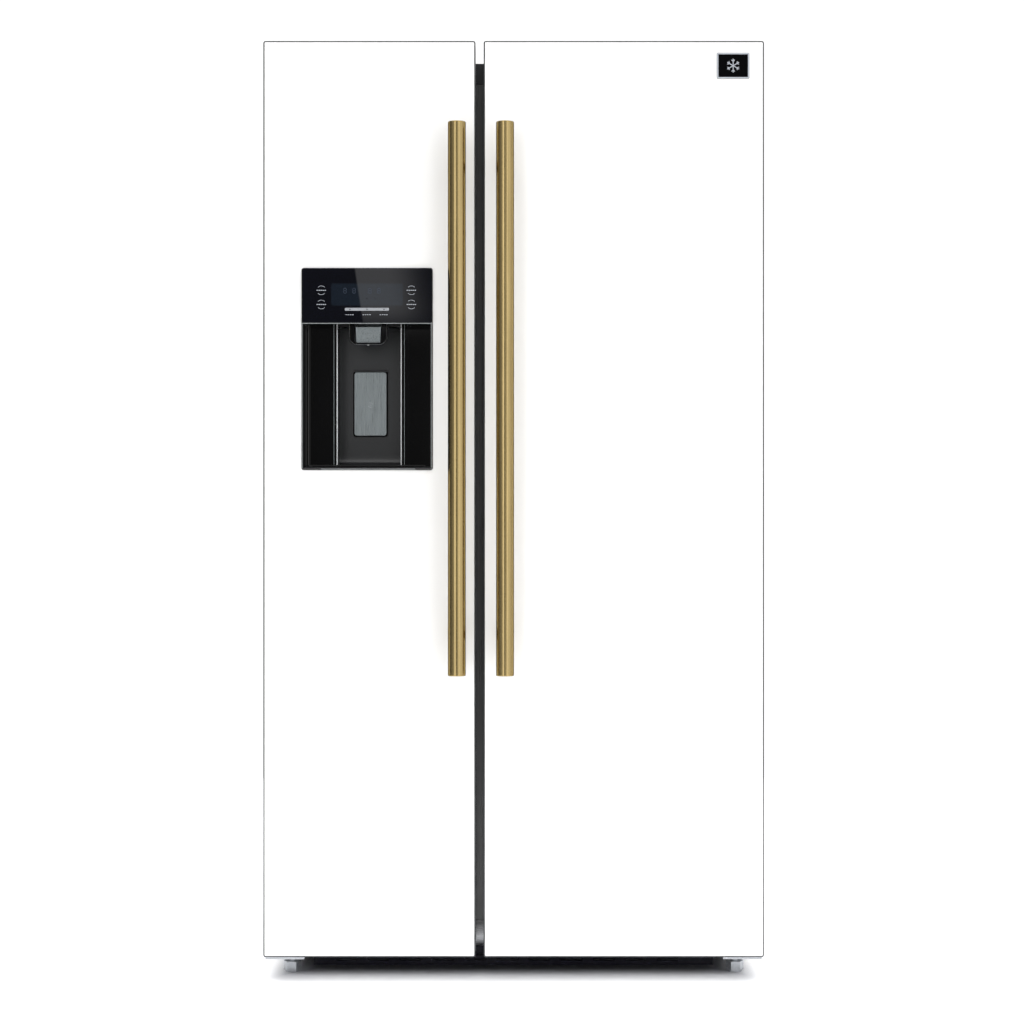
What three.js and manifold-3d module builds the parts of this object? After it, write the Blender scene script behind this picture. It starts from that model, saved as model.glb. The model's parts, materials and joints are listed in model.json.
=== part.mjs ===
// A free-standing side by side refrigerator: a narrow freezer on the left with an ice and water
// dispenser in its door, and a wider refrigerator on the right. Millimetres, +Z up. The doors face -Y,
// the origin is on the floor under the middle of the whole object, handles included.
import * as THREE from "three";
import { mergeVertices } from "three/addons/utils/BufferGeometryUtils.js";
import Module from "manifold-3d";

const wasm = await Module();
wasm.setup();

// ---------------------------------------------------------------- driving dimensions

const FIT = 0.3; // gap kept between pieces that rest on each other
const RUN = 0.8; // radial gap round a turning pin or shaft

// Doors, closed
const DOOR_BOTTOM = 46;
const DOOR_HEIGHT = 1667;
const DOOR_DEPTH = 62;
const FREEZER_DOOR_WIDTH = 386;
const FRIDGE_DOOR_WIDTH = 510;
const DOOR_GAP = 15; // between the two doors
const SEAL_GAP = 10; // between a closed door and the cabinet, filled by the gasket
const FRONT_GLASS = 4; // white glass front
const FRAME_SHEET = 2; // steel folded round each door
const TOP_CAP = 60; // moulded end caps that carry the hinge pins
const BOTTOM_CAP = 26;
const DOOR_LINER = 2.5;
const HINGE_INSET = 14; // hinge axis from the door's outer side
const HINGE_DEPTH = 25; // hinge axis behind the door's front
const HINGE_PIN = 5.5; // radius

// Gaskets
const GASKET_WIDTH = 16;
const GASKET_HINGE_INSET = 16;
const GASKET_FREE_INSET = 5;

// Ridges moulded into a door liner, with the bins hung between them
const RIDGE_WIDTH = 22;
const RIDGE_HEIGHT = 45;
const RIDGE_CLEARANCE = 12; // from the compartment's walls
const BIN_REACH = 95; // how far a bin stands behind the door
const BIN_HEIGHT = 110;
const BIN_WALL = 2.5;
const BIN_CLEARANCE = 1;
const UPPER_BIN_DROP = 205; // top liner edge down to the upper bins' floor
const FREEZER_LOWER_BIN = 640; // floor heights above the ground
const FRIDGE_LOWER_BIN = 240;
const DAIRY_COVER_HEIGHT = 72;
const DAIRY_PIVOT = 3;

// Handles
const HANDLE_DIAMETER = 32;
const HANDLE_LENGTH = 994;
const HANDLE_BOTTOM = 562;
const HANDLE_STANDOFF = 50; // door face to the bar's centre line
const HANDLE_CHAMFER = 1.6;
const HANDLE_POST = 8; // radius
const HANDLE_POST_INSET = 70; // from the bar's ends
const FREEZER_HANDLE_INSET = 32.5; // from each door's free edge
const FRIDGE_HANDLE_INSET = 39;

// Cabinet
const CABINET_DEPTH = 620;
const CABINET_INSET = 1.5; // each side of the cabinet, inside the doors' width
const DOOR_RISE = 25; // the doors stand this far above the cabinet
const CABINET_LIFT = 1; // the cabinet's lower edge above the doors'
const SHEET = 1.2;
const FREEZER_WALL = 66;
const FRIDGE_WALL = 62;
const MULLION = 64;
const TOP_WALL = 43;
const FLOOR_WALL = 57;
const REAR_WALL = 50;
const LINER = 2;
const TRIM_HEIGHT = 39;
const TRIM_DEPTH = 18;
const TRIM_WALL = 4;
const BEAM_HEIGHT = 53;
const BEAM_DEPTH = 40;
const BEAM_SHEET = 2.5;
const BEAM_NOSE = 26; // radius of its lower front edge

// Machine compartment, across the rear at the bottom
const MACHINE_HEIGHT = 223;
const MACHINE_DEPTH = 210;
const MACHINE_WALL = 45; // insulation between it and the liners
const SLOT_MARGIN = 51; // air slots in its rear cover
const SLOT_PITCH = 100;
const SLOT_LENGTH = 70;
const SLOT_HEIGHT = 8;
const SLOT_ROW = 30;
const COMPRESSOR_X = 230;
const COMPRESSOR_PLATE = [102, 72]; // half its width and depth
const GROMMET = { x: 88, y: 58, radius: 12, height: 13 };
const CONDENSER_LEFT = -390;
const CONDENSER_RIGHT = -240;
const CONDENSER_HEIGHT = 170;
const CONDENSER_MARGIN = 25; // from the compartment's front and the cabinet's rear
const CONDENSER_FAN_RADIUS = 62;
const GLAND_X = -60;
const GLAND_RADIUS = 10;
const GLAND_BORE = 4.5;
const GLAND_DEPTH = 14;

// Inside the compartments
const INSIDE_SETBACK = 85; // shelves and drawers behind the cabinet's front, past the door bins
const SETBACK_CLEARANCE = 12;
const LEDGE_WIDTH = 9;
const LEDGE_HEIGHT = 6;
const SHELF_THICKNESS = 6;
const SHELF_LIP = 14;
const SHELF_SIDE_GAP = 2;
const FREEZER_SHELVES = 3;
const FRIDGE_SHELVES = 4;
const DRAWER_HEIGHT = 210;
const DRAWER_WALL = 2.5;
const DRAWER_FRONT = 12;
const DRAWER_SIDE_GAP = 12;
const DRAWER_LIP = 4;
const DRAWER_SPACING = 10;
const DRAWER_LIFT = 8; // above the liner's floor
const EVAPORATOR_ROOM = 75; // between the freezer's rear cover and its liner
const EVAPORATOR_WIDTH = 240;
const EVAPORATOR_HEIGHT = 260;
const EVAPORATOR_FAN_RADIUS = 48;
const EVAPORATOR_FAN_SHAFT = 2.5;
const COVER_SHEET = 3;

// Ice maker, its bucket and the auger
const BUCKET_HEIGHT = 180;
const BUCKET_WALL = 3;
const BUCKET_BACK_GAP = 28; // bucket to the freezer's rear cover, for the auger's drive
const BUCKET_SLOPE = 45; // the slopes rise this far above the auger's axis
const TROUGH_GAP = 4; // auger to trough
const NOSE_REACH = 38; // spout that overhangs the door's ice funnel
const NOSE_WIDTH = 110;
const NOSE_HEIGHT = 78;
const FUNNEL_GAP = 10; // spout to funnel
const ICE_MAKER_HEIGHT = 78;
const ICE_MAKER_WIDTH = 128;
const ICE_MAKER_DEPTH = 250;
const ICE_CUPS = 7;
const AUGER_RADIUS = 26;
const AUGER_SHAFT = 5;
const AUGER_TURNS = 4;

// Dispenser, in the freezer door
const DISPENSER_WIDTH = 239;
const DISPENSER_HEIGHT = 368;
const DISPENSER_INSET = 69.5; // from the door's outer side
const DISPENSER_DROP = 413; // from the door's top to the dispenser's top
const CONTROL_HEIGHT = 102;
const BEZEL = 6; // width of the rim round the recess
const BEZEL_PROUD = 2.4;
const HOUSING_WALL = 3;
const RECESS_DEPTH = 92;
const CHANNEL_WIDTH = 117;
const PADDLE_WIDTH = 60;
const PADDLE_HEIGHT = 122;
const PADDLE_TOP = 82; // below the recess's ceiling
const PADDLE_THICKNESS = 4;
const PADDLE_PIVOT = 3;
const PADDLE_POCKET = 24; // depth behind the paddle that it swings into
const TRAY_HEIGHT = 14;
const TRAY_SLOTS = 9;
const FUNNEL_WIDTH = 84;
const FUNNEL_LENGTH = 50;
const FUNNEL_WALL = 2.5;
const NOZZLE_DEPTH = 52; // middle of the nozzle behind the door's front
const NOZZLE_TOP = 52;
const NOZZLE_TIP = 45;
const NOZZLE_HEIGHT = 28;
const NOZZLE_WALL = 2;
const WING_DEPTH = 53; // shallow sides of the recess, either side of the channel
const MOUTH_GAP = 2; // liner to funnel
const BUMP_REACH = 85; // how far the liner bulges behind the door round the dispenser
const BUMP_BEVEL = 30; // along its lower rear edge
const BUMP_SWING = 8; // its free corner may swing this far past the ridge's reach
const BUMP_CLEARANCE = 6; // and stays this far inside that arc
const BUMP_ABOVE = 35; // above the dispenser, for the ice funnel
const BUMP_BELOW = 27;

// Feet, rollers and lower hinges
const FOOT_CORNER_RADIUS = 16.5; // hexagon, corners to the sides
const FOOT_HEIGHT = 20;
const FOOT_PAD = 3; // round pad under the hexagon
const FOOT_STEM = 6; // radius
const FOOT_STEM_LENGTH = 40;
const FOOT_INSET = 43; // from the outer side
const FOOT_DEPTH = 22; // behind the cabinet's front
const KICK_SETBACK = 26; // toe plate behind the cabinet's front
const KICK_SHEET = 2.5;
const KICK_CLEARANCE = 10; // above the floor
const KICK_SLOT = 40;
const KICK_PITCH = 60;
const KICK_ROWS = [18, 28]; // heights of its two rows of slots
const BRACKET_WIDTH = 71;
const BRACKET_THICKNESS = 7;
const ARM_SHEET = 3.5; // upper hinge arm
const ARM_REACH = 95; // its plate ends this far behind the cabinet's front
const COVER_WALL = 2.5; // upper hinge cover
const COVER_SLOPE = 16;
const ROLLER_RADIUS = 21;
const ROLLER_WIDTH = 22;
const ROLLER_AXLE = 5;
const RAIL_SHEET = 3;
const BASE_SHEET = 2.5;

// ---------------------------------------------------------------- planes worked out from them

const doorTop = DOOR_BOTTOM + DOOR_HEIGHT;
const cabinetTop = doorTop - DOOR_RISE;
const cabinetBottom = DOOR_BOTTOM + CABINET_LIFT;
const overallWidth = FREEZER_DOOR_WIDTH + DOOR_GAP + FRIDGE_DOOR_WIDTH;
const handleReach = HANDLE_STANDOFF + HANDLE_DIAMETER / 2;
const overallDepth = handleReach + DOOR_DEPTH + SEAL_GAP + CABINET_DEPTH;
const doorFront = handleReach - overallDepth / 2;
const doorBack = doorFront + DOOR_DEPTH;
const cabinetFront = doorBack + SEAL_GAP;
const cabinetBack = cabinetFront + CABINET_DEPTH;
const cabinetSide = overallWidth / 2 - CABINET_INSET;
const hingeX = overallWidth / 2 - HINGE_INSET;
const hingeY = doorFront + HINGE_DEPTH;
const mullionX = FREEZER_DOOR_WIDTH + DOOR_GAP / 2 - overallWidth / 2;

const bayFloor = cabinetBottom + FLOOR_WALL;
const bayCeiling = cabinetTop - TOP_WALL;
const bayBack = cabinetBack - REAR_WALL;
const stepFront = cabinetBack - MACHINE_DEPTH - MACHINE_WALL;
const stepTop = cabinetBottom + MACHINE_HEIGHT + MACHINE_WALL;
const freezerBay = { left: FREEZER_WALL - cabinetSide, right: mullionX - MULLION / 2 };
const fridgeBay = { left: mullionX + MULLION / 2, right: cabinetSide - FRIDGE_WALL };
const trimBottom = cabinetTop - TRIM_HEIGHT;
const beamTop = cabinetBottom + BEAM_HEIGHT;
const insideFront = cabinetFront + INSIDE_SETBACK + SETBACK_CLEARANCE;
const evaporatorCoverY = bayBack - EVAPORATOR_ROOM;

const lowerDrawerZ = bayFloor + DRAWER_LIFT;
const upperDrawerZ = lowerDrawerZ + DRAWER_HEIGHT + DRAWER_SPACING;
const drawerCoverZ = upperDrawerZ + DRAWER_HEIGHT + DRAWER_SPACING;

const dispenserTop = doorTop - DISPENSER_DROP;
const dispenserBottom = dispenserTop - DISPENSER_HEIGHT;
const recessTop = dispenserTop - CONTROL_HEIGHT;
const bumpTop = dispenserTop + BUMP_ABOVE;
const bumpBottom = dispenserBottom - BUMP_BELOW;
const bucketBottom = bumpTop + FUNNEL_GAP;

// A door is drawn from its hinge axis: a is the distance across it, q the depth behind the axis.
const doorFrontQ = -HINGE_DEPTH;
const doorBackQ = DOOR_DEPTH - HINGE_DEPTH;
const frameFrontQ = doorFrontQ + FRONT_GLASS + FIT;
const dispenserLeft = DISPENSER_INSET - HINGE_INSET;
const dispenserRight = dispenserLeft + DISPENSER_WIDTH;
const dispenserMid = (dispenserLeft + dispenserRight) / 2;
const recessBackQ = doorFrontQ + RECESS_DEPTH;
const openingInset = BEZEL - 1;

// ---------------------------------------------------------------- shapes

/** A closed geometry as a manifold-3d solid. */
function solidOf(geometry) {
  const bare = new THREE.BufferGeometry().setAttribute("position", geometry.getAttribute("position"));
  bare.setIndex(geometry.index);
  const merged = mergeVertices(bare, 1e-3);
  return new wasm.Manifold(
    new wasm.Mesh({
      numProp: 3,
      vertProperties: merged.attributes.position.array,
      triVerts: new Uint32Array(merged.index.array),
    }),
  );
}

/** A manifold-3d solid as a flat-shaded geometry. */
function geometryOf(solid) {
  const mesh = solid.getMesh();
  const geometry = new THREE.BufferGeometry();
  geometry.setAttribute("position", new THREE.BufferAttribute(mesh.vertProperties, 3));
  geometry.setIndex(new THREE.BufferAttribute(mesh.triVerts, 1));
  const flat = geometry.toNonIndexed();
  flat.computeVertexNormals();
  return flat;
}

/** The pieces in one list joined, less every piece in the other. */
function shape(added, removed = []) {
  const body = added.map(solidOf).reduce((whole, next) => whole.add(next));
  return geometryOf(removed.map(solidOf).reduce((whole, next) => whole.subtract(next), body));
}

/** A box between two planes on each axis, given in either order. */
function block(x0, x1, y0, y1, z0, z1) {
  const box = new THREE.BoxGeometry(Math.abs(x1 - x0), Math.abs(y1 - y0), Math.abs(z1 - z0));
  return box.translate((x0 + x1) / 2, (y0 + y1) / 2, (z0 + z1) / 2);
}

/** A cylinder between two planes of one axis, centred at (u, v) on the other two axes. */
function rod(axis, radius, u, v, start, end, sides = 16) {
  const bar = new THREE.CylinderGeometry(radius, radius, Math.abs(end - start), sides);
  const middle = (start + end) / 2;
  if (axis === "x") return bar.rotateZ(Math.PI / 2).translate(middle, u, v);
  if (axis === "y") return bar.translate(u, middle, v);
  return bar.rotateX(Math.PI / 2).translate(u, v, middle);
}

/** An outline of [y, z] points, extruded along X. */
function prismX(points, x0, x1) {
  const outline = new THREE.Shape(points.map(([y, z]) => new THREE.Vector2(y, z)));
  const depth = Math.abs(x1 - x0);
  const prism = new THREE.ExtrudeGeometry(outline, { depth, bevelEnabled: false });
  const turn = new THREE.Matrix4().set(0, 0, 1, 0, 1, 0, 0, 0, 0, 1, 0, 0, 0, 0, 0, 1);
  return prism.applyMatrix4(turn).translate(Math.min(x0, x1), 0, 0);
}

/** An outline of [x, y] points, extruded along Z. */
function prismZ(points, z0, z1) {
  const outline = new THREE.Shape(points.map(([x, y]) => new THREE.Vector2(x, y)));
  return new THREE.ExtrudeGeometry(outline, { depth: z1 - z0, bevelEnabled: false }).translate(0, 0, z0);
}

/** An outline of [x, z] points, extruded along Y. */
function prismY(points, y0, y1) {
  const outline = new THREE.Shape(points.map(([x, z]) => new THREE.Vector2(x, z)));
  const prism = new THREE.ExtrudeGeometry(outline, { depth: y1 - y0, bevelEnabled: false });
  return prism.rotateX(Math.PI / 2).translate(0, y1, 0);
}

/** Points on an arc, from one angle to another in degrees. */
function arc(u, v, radius, from, to, steps) {
  return Array.from({ length: steps + 1 }, (_, i) => {
    const angle = THREE.MathUtils.degToRad(from + ((to - from) * i) / steps);
    return [u + radius * Math.cos(angle), v + radius * Math.sin(angle)];
  });
}

/** An open box with walls of one thickness: floor and four sides. */
function tub(x0, x1, y0, y1, z0, z1, wall) {
  return shape(
    [block(x0, x1, y0, y1, z0, z1)],
    [block(x0 + wall, x1 - wall, y0 + wall, y1 - wall, z0 + wall, z1 + 1)],
  );
}

// ---------------------------------------------------------------- materials

const finish = (color, roughness, metalness = 0) =>
  new THREE.MeshStandardMaterial({ color, roughness, metalness });

const whiteGlass = finish(0xfbfbfb, 0.08);
const paintedSteel = finish(0xd9dadb, 0.4, 0.3);
const darkPaint = finish(0x3b3c3e, 0.45, 0.2);
const blackPlastic = finish(0x141416, 0.4);
const whitePlastic = finish(0xf1f2f2, 0.35);
const clearPlastic = finish(0xdfe7ea, 0.12);
const clearGlass = finish(0xcfe0dc, 0.05);
const rubberSeal = finish(0x4a4b4d, 0.8);
const foam = finish(0xe8d9a0, 0.95);
const zinc = finish(0xc4c6c7, 0.35, 0.8);
const aluminium = finish(0xb9bcc0, 0.4, 0.9);
const brass = finish(0xb59a58, 0.32, 1);
const gloss = finish(0x07080b, 0.08);
const satinSilver = finish(0x8b9395, 0.3, 0.6);
const blackEnamel = finish(0x17181a, 0.35, 0.2);
const darkRubber = finish(0x202124, 0.85);

/** A named mesh, added to its body's group. */
function place(group, name, geometry, material) {
  const mesh = new THREE.Mesh(geometry, material);
  mesh.name = name;
  group.add(mesh);
  return mesh;
}

/** A group for a body that moves, with its origin on the joint. */
function bodyAt(parent, x, y, z) {
  const group = new THREE.Group();
  group.position.set(x, y, z);
  parent.add(group);
  return group;
}

// ---------------------------------------------------------------- cabinet

/** The compartments' side outline in [y, z], grown by a wall, stepping up over the machines. */
function bayOutline(front, wall) {
  return [
    [front, bayFloor - wall],
    [stepFront + wall, bayFloor - wall],
    [stepFront + wall, stepTop - wall],
    [bayBack + wall, stepTop - wall],
    [bayBack + wall, bayCeiling + wall],
    [front, bayCeiling + wall],
  ];
}

const machineTop = cabinetBottom + MACHINE_HEIGHT;
const machineFront = cabinetBack - MACHINE_DEPTH;
const behindSheet = cabinetFront + SHEET + FIT;

/** Painted steel wrapper: both sides, top, rear and the folded front edge that the gaskets seal on. */
function cabinetShell() {
  const side = cabinetSide;
  const inner = side - SHEET;
  const top = cabinetTop - SHEET;
  return shape(
    [block(-side, side, cabinetFront, cabinetBack, cabinetBottom, cabinetTop)],
    [
      block(-inner, inner, cabinetFront + SHEET, cabinetBack - SHEET, cabinetBottom - 1, top),
      block(freezerBay.left, fridgeBay.right, cabinetFront - 1, behindSheet, bayFloor, bayCeiling),
      block(
        freezerBay.right, fridgeBay.left, cabinetFront - 1, behindSheet, cabinetBottom - 1, cabinetTop + 1,
      ),
      block(-inner, inner, cabinetFront - 1, behindSheet, cabinetBottom - 1, beamTop + FIT),
      block(
        -inner, inner, cabinetFront - 1, cabinetFront + TRIM_DEPTH + FIT, trimBottom - FIT, cabinetTop + 1,
      ),
      block(-inner, inner, cabinetBack - 10, cabinetBack + 1, cabinetBottom - 1, machineTop),
    ],
  );
}

/** Polyurethane foam that fills the space between the wrapper and the two liners. */
function cabinetFoam() {
  const side = cabinetSide - SHEET - FIT;
  const wall = LINER + FIT;
  const bays = [freezerBay, fridgeBay].map((bay) =>
    prismX(bayOutline(cabinetFront - 1, wall), bay.left - wall, bay.right + wall),
  );
  return shape(
    [
      block(
        -side, side, behindSheet, cabinetBack - SHEET - FIT, cabinetBottom + FIT, cabinetTop - SHEET - FIT,
      ),
    ],
    [
      ...bays,
      block(-side - 1, side + 1, machineFront, cabinetBack, cabinetBottom - 1, machineTop),
      block(-side - 1, side + 1, behindSheet - 1, cabinetFront + BEAM_DEPTH + FIT, 0, beamTop + FIT),
      block(
        -side - 1, side + 1, behindSheet - 1, cabinetFront + TRIM_DEPTH + 2 * FIT,
        trimBottom - FIT, cabinetTop,
      ),
    ],
  );
}

/** Ledges on both side walls of a bay, with their upper faces at one height. */
function ledges(bay, top, back) {
  return [
    block(bay.left - 1, bay.left + LEDGE_WIDTH, insideFront, back, top - LEDGE_HEIGHT, top),
    block(bay.right - LEDGE_WIDTH, bay.right + 1, insideFront, back, top - LEDGE_HEIGHT, top),
  ];
}

/** Heights of a bay's shelves: one closes the drawers, the rest are spread evenly below a ceiling. */
function shelfHeights(count, ceiling) {
  const spacing = (ceiling - drawerCoverZ) / count;
  return Array.from({ length: count }, (_, i) => drawerCoverZ + spacing * i);
}

const freezerShelfZ = shelfHeights(FREEZER_SHELVES, bucketBottom);
const fridgeShelfZ = shelfHeights(FRIDGE_SHELVES, bayCeiling);

const drawerLipZ = (floor) => floor + DRAWER_HEIGHT - DRAWER_LIP;

/** A vacuum-formed compartment liner with the ledges that carry its shelves and drawers. */
function liner(bay, restZ, shelfBack) {
  const shelfLedges = restZ.flatMap((z) => ledges(bay, z - FIT, shelfBack));
  const drawerLedges = [
    ...ledges(bay, drawerLipZ(lowerDrawerZ) - FIT, stepFront),
    ...ledges(bay, drawerLipZ(upperDrawerZ) - FIT, shelfBack),
  ];
  const outer = prismX(bayOutline(behindSheet, LINER), bay.left - LINER, bay.right + LINER);
  const inner = prismX(bayOutline(cabinetFront - 1, 0), bay.left, bay.right);
  const hull = shape([outer], [inner]);
  return shape([hull, ...shelfLedges, ...drawerLedges]);
}

/** Dark strip down the middle of the cabinet's front, seen through the gap between the doors. */
function mullionCover() {
  const left = freezerBay.right + FIT;
  const right = fridgeBay.left - FIT;
  return block(left, right, cabinetFront, cabinetFront + SHEET, beamTop + FIT, trimBottom - 2 * FIT);
}

/** Black moulding across the top of the cabinet's front. */
function topTrim() {
  const side = cabinetSide - SHEET - FIT;
  return shape(
    [block(-side, side, cabinetFront, cabinetFront + TRIM_DEPTH, trimBottom, cabinetTop)],
    [
      block(
        TRIM_WALL - side, side - TRIM_WALL, cabinetFront + TRIM_WALL, cabinetFront + TRIM_DEPTH + 1,
        trimBottom + TRIM_WALL, cabinetTop - TRIM_WALL,
      ),
    ],
  );
}

/** Steel cross beam under the compartments, with a rolled lower edge. Open at the rear. */
function bottomBeam() {
  const side = cabinetSide - SHEET - FIT;
  const nose = (radius) => arc(cabinetFront + BEAM_NOSE, cabinetBottom + BEAM_NOSE, radius, 180, 270, 8);
  const back = cabinetFront + BEAM_DEPTH;
  const outline = [
    [back, beamTop],
    [cabinetFront, beamTop],
    ...nose(BEAM_NOSE),
    [back, cabinetBottom],
    [back, cabinetBottom + BEAM_SHEET],
    ...nose(BEAM_NOSE - BEAM_SHEET).reverse(),
    [cabinetFront + BEAM_SHEET, beamTop - BEAM_SHEET],
    [back, beamTop - BEAM_SHEET],
  ];
  const stemHoles = [-footX, footX].map((x) =>
    rod("z", FOOT_STEM + RUN, x, footY, cabinetBottom - 1, cabinetBottom + 5),
  );
  return shape([prismX(outline, -side, side)], stemHoles);
}

// ---------------------------------------------------------------- base, feet and rollers

const footX = overallWidth / 2 - FOOT_INSET;
const footY = cabinetFront + FOOT_DEPTH;
const baseTop = cabinetBottom - FIT;
const railX = cabinetSide - 26;
const rollerX = railX - RAIL_SHEET / 2 - 2 - ROLLER_WIDTH / 2;
const rollerY = cabinetBack - 60;
const innerRailX = rollerX - ROLLER_WIDTH / 2 - 2 - RAIL_SHEET / 2;
const baseFront = cabinetFront + BEAM_DEPTH + 25;

/** Steel base pan that carries the machines, with rails each side and bearings for the rollers. */
function baseFrame() {
  const side = cabinetSide - 4;
  const under = baseTop - BASE_SHEET;
  const added = [block(-side, side, baseFront, cabinetBack - 6, under, baseTop)];
  const removed = [];
  for (const hand of [-1, 1]) {
    added.push(
      block(
        hand * (railX - RAIL_SHEET / 2), hand * (railX + RAIL_SHEET / 2), baseFront, cabinetBack - 20,
        ROLLER_RADIUS - 9, under + 1,
      ),
      block(
        hand * (innerRailX - RAIL_SHEET / 2), hand * (innerRailX + RAIL_SHEET / 2),
        rollerY - 35, rollerY + 35, ROLLER_RADIUS - 9, under + 1,
      ),
    );
    removed.push(
      rod("x", ROLLER_AXLE + RUN, rollerY, ROLLER_RADIUS, hand * (innerRailX - 5), hand * (railX + 5)),
    );
  }
  return shape(added, removed);
}

/** A rear transport roller with its axle stubs. Its origin is on its axis. */
function rearRoller() {
  const half = ROLLER_WIDTH / 2;
  const reach = half + 2 + RAIL_SHEET + 1;
  return shape([
    rod("x", ROLLER_RADIUS, 0, 0, -half, half, 24),
    rod("x", ROLLER_AXLE, 0, 0, -reach, reach, 16),
  ]);
}

/** A hexagonal levelling foot on its threaded stem. Its origin is on the floor under its axis. */
function levellingFoot() {
  return shape([
    rod("z", FOOT_CORNER_RADIUS, 0, 0, FOOT_PAD, FOOT_HEIGHT, 6).rotateZ(Math.PI / 6),
    rod("z", FOOT_CORNER_RADIUS - 3, 0, 0, 0, FOOT_PAD + 0.5, 24),
    rod("z", FOOT_STEM, 0, 0, FOOT_HEIGHT - 1, FOOT_HEIGHT + FOOT_STEM_LENGTH, 16),
  ]);
}

/** Dark toe plate between the lower hinges, slotted for air. */
function kickPlate() {
  const half = overallWidth / 2 - BRACKET_WIDTH - 12;
  const front = cabinetFront + KICK_SETBACK;
  const slots = [];
  for (let x = -half + KICK_SLOT; x < half - KICK_PITCH; x += KICK_PITCH) {
    for (const z of KICK_ROWS) slots.push(block(x, x + KICK_SLOT, front - 1, front + 4, z, z + 4));
  }
  const sheet = block(-half, half, front, front + KICK_SHEET, KICK_CLEARANCE, cabinetBottom - FIT);
  return shape([sheet], slots);
}

/** A lower hinge: a bracket under the beam that carries the door's pin and the foot's stem. */
function lowerHinge(hand) {
  const top = cabinetBottom - FIT - CABINET_LIFT;
  const under = top - BRACKET_THICKNESS;
  const outer = overallWidth / 2 - 2;
  return shape(
    [
      block(
        hand * (outer - BRACKET_WIDTH), hand * outer, hingeY - 9, cabinetFront + BEAM_DEPTH + 20, under, top,
      ),
      rod("z", HINGE_PIN, hand * hingeX, hingeY, top - 1, DOOR_BOTTOM + BOTTOM_CAP - 6),
    ],
    [rod("z", FOOT_STEM + RUN, hand * footX, footY, under - 1, top + 1)],
  );
}

/** An upper hinge: an arm that reaches from the cabinet's top to the door's pin. */
function topHinge(hand) {
  const under = cabinetTop + FIT;
  const top = under + ARM_SHEET;
  const inner = hand * (hingeX - 20);
  const arm = block(inner, hand * (hingeX + 2), hingeY, cabinetFront + ARM_REACH, under, top);
  const plate = block(
    hand * (hingeX - 70), hand * (hingeX + 6), cabinetFront + 12, cabinetFront + ARM_REACH, under, top,
  );
  return shape([
    arm,
    plate,
    rod("z", 8, hand * hingeX, hingeY, under, top),
    rod("z", HINGE_PIN, hand * hingeX, hingeY, doorTop - TOP_CAP + 6, top),
  ]);
}

/** A plastic cover over an upper hinge, with a slot for the arm. */
function hingeCover(hand) {
  const [x0, x1] = [hingeX - 76, hingeX + 11];
  const [y0, y1] = [cabinetFront + 4, cabinetFront + 104];
  const [z0, z1] = [cabinetTop + FIT, doorTop - 2];
  const outline = [
    [y0, z0],
    [y1, z0],
    [y1 - COVER_SLOPE, z1],
    [y0, z1],
  ];
  return shape(
    [prismX(outline, hand * x0, hand * x1)],
    [
      block(
        hand * (x0 + COVER_WALL), hand * (x1 - COVER_WALL), y0 + COVER_WALL, y1 - COVER_SLOPE - COVER_WALL,
        z0 - 1, z1 - COVER_WALL,
      ),
      block(
        hand * (x0 + COVER_WALL), hand * (x1 - COVER_WALL), y1 - COVER_SLOPE - 4, y1 - 6, z0 - 1, z0 + 7,
      ),
      block(hand * (hingeX - 23), hand * (hingeX + 10), y0 - 1, y0 + 4, z0 - 1, z0 + 8),
    ],
  );
}

// ---------------------------------------------------------------- machine compartment

const compressorY = machineFront + MACHINE_DEPTH / 2;
const compressorX = COMPRESSOR_X;

/** Hermetic compressor: a domed can on its four-footed plate, with a suction stub. */
function compressor() {
  const foot = baseTop + FIT;
  const [plateHalf, plateDepth] = COMPRESSOR_PLATE;
  const can = [
    [0, 0],
    [62, 0],
    [72, 12],
    [76, 30],
    [76, 92],
    [70, 120],
    [50, 146],
    [26, 156],
    [0, 158],
  ].map(([r, z]) => new THREE.Vector2(r, z));
  const dome = new THREE.LatheGeometry(can, 24).rotateX(Math.PI / 2);
  dome.translate(compressorX, compressorY, foot + GROMMET.height + 1);
  const grommets = [-1, 1].flatMap((i) =>
    [-1, 1].map((j) => {
      const [x, y] = [compressorX + i * GROMMET.x, compressorY + j * GROMMET.y];
      return rod("z", GROMMET.radius, x, y, foot, foot + GROMMET.height, 12);
    }),
  );
  return shape([
    dome,
    block(
      compressorX - plateHalf, compressorX + plateHalf, compressorY - plateDepth, compressorY + plateDepth,
      foot + GROMMET.height - 1, foot + GROMMET.height + 3,
    ),
    ...grommets,
    rod("z", 6, compressorX - 60, compressorY, foot + 100, foot + 185, 10),
  ]);
}

const condenserZ = baseTop + FIT;
const fanX = CONDENSER_RIGHT + 30;
const fanZ = condenserZ + 90;

/** A comb outline: a spine with evenly spaced fins. */
function combOutline(u0, u1, v0, v1, spine, count, thickness) {
  const pitch = (u1 - u0 - thickness) / (count - 1);
  const teeth = Array.from({ length: count }, (_, i) => u0 + pitch * i).flatMap((u) => [
    [u, v0 + spine],
    [u, v1],
    [u + thickness, v1],
    [u + thickness, v0 + spine],
  ]);
  return [[u0, v0], ...teeth, [u1, v0]].reverse();
}

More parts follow.
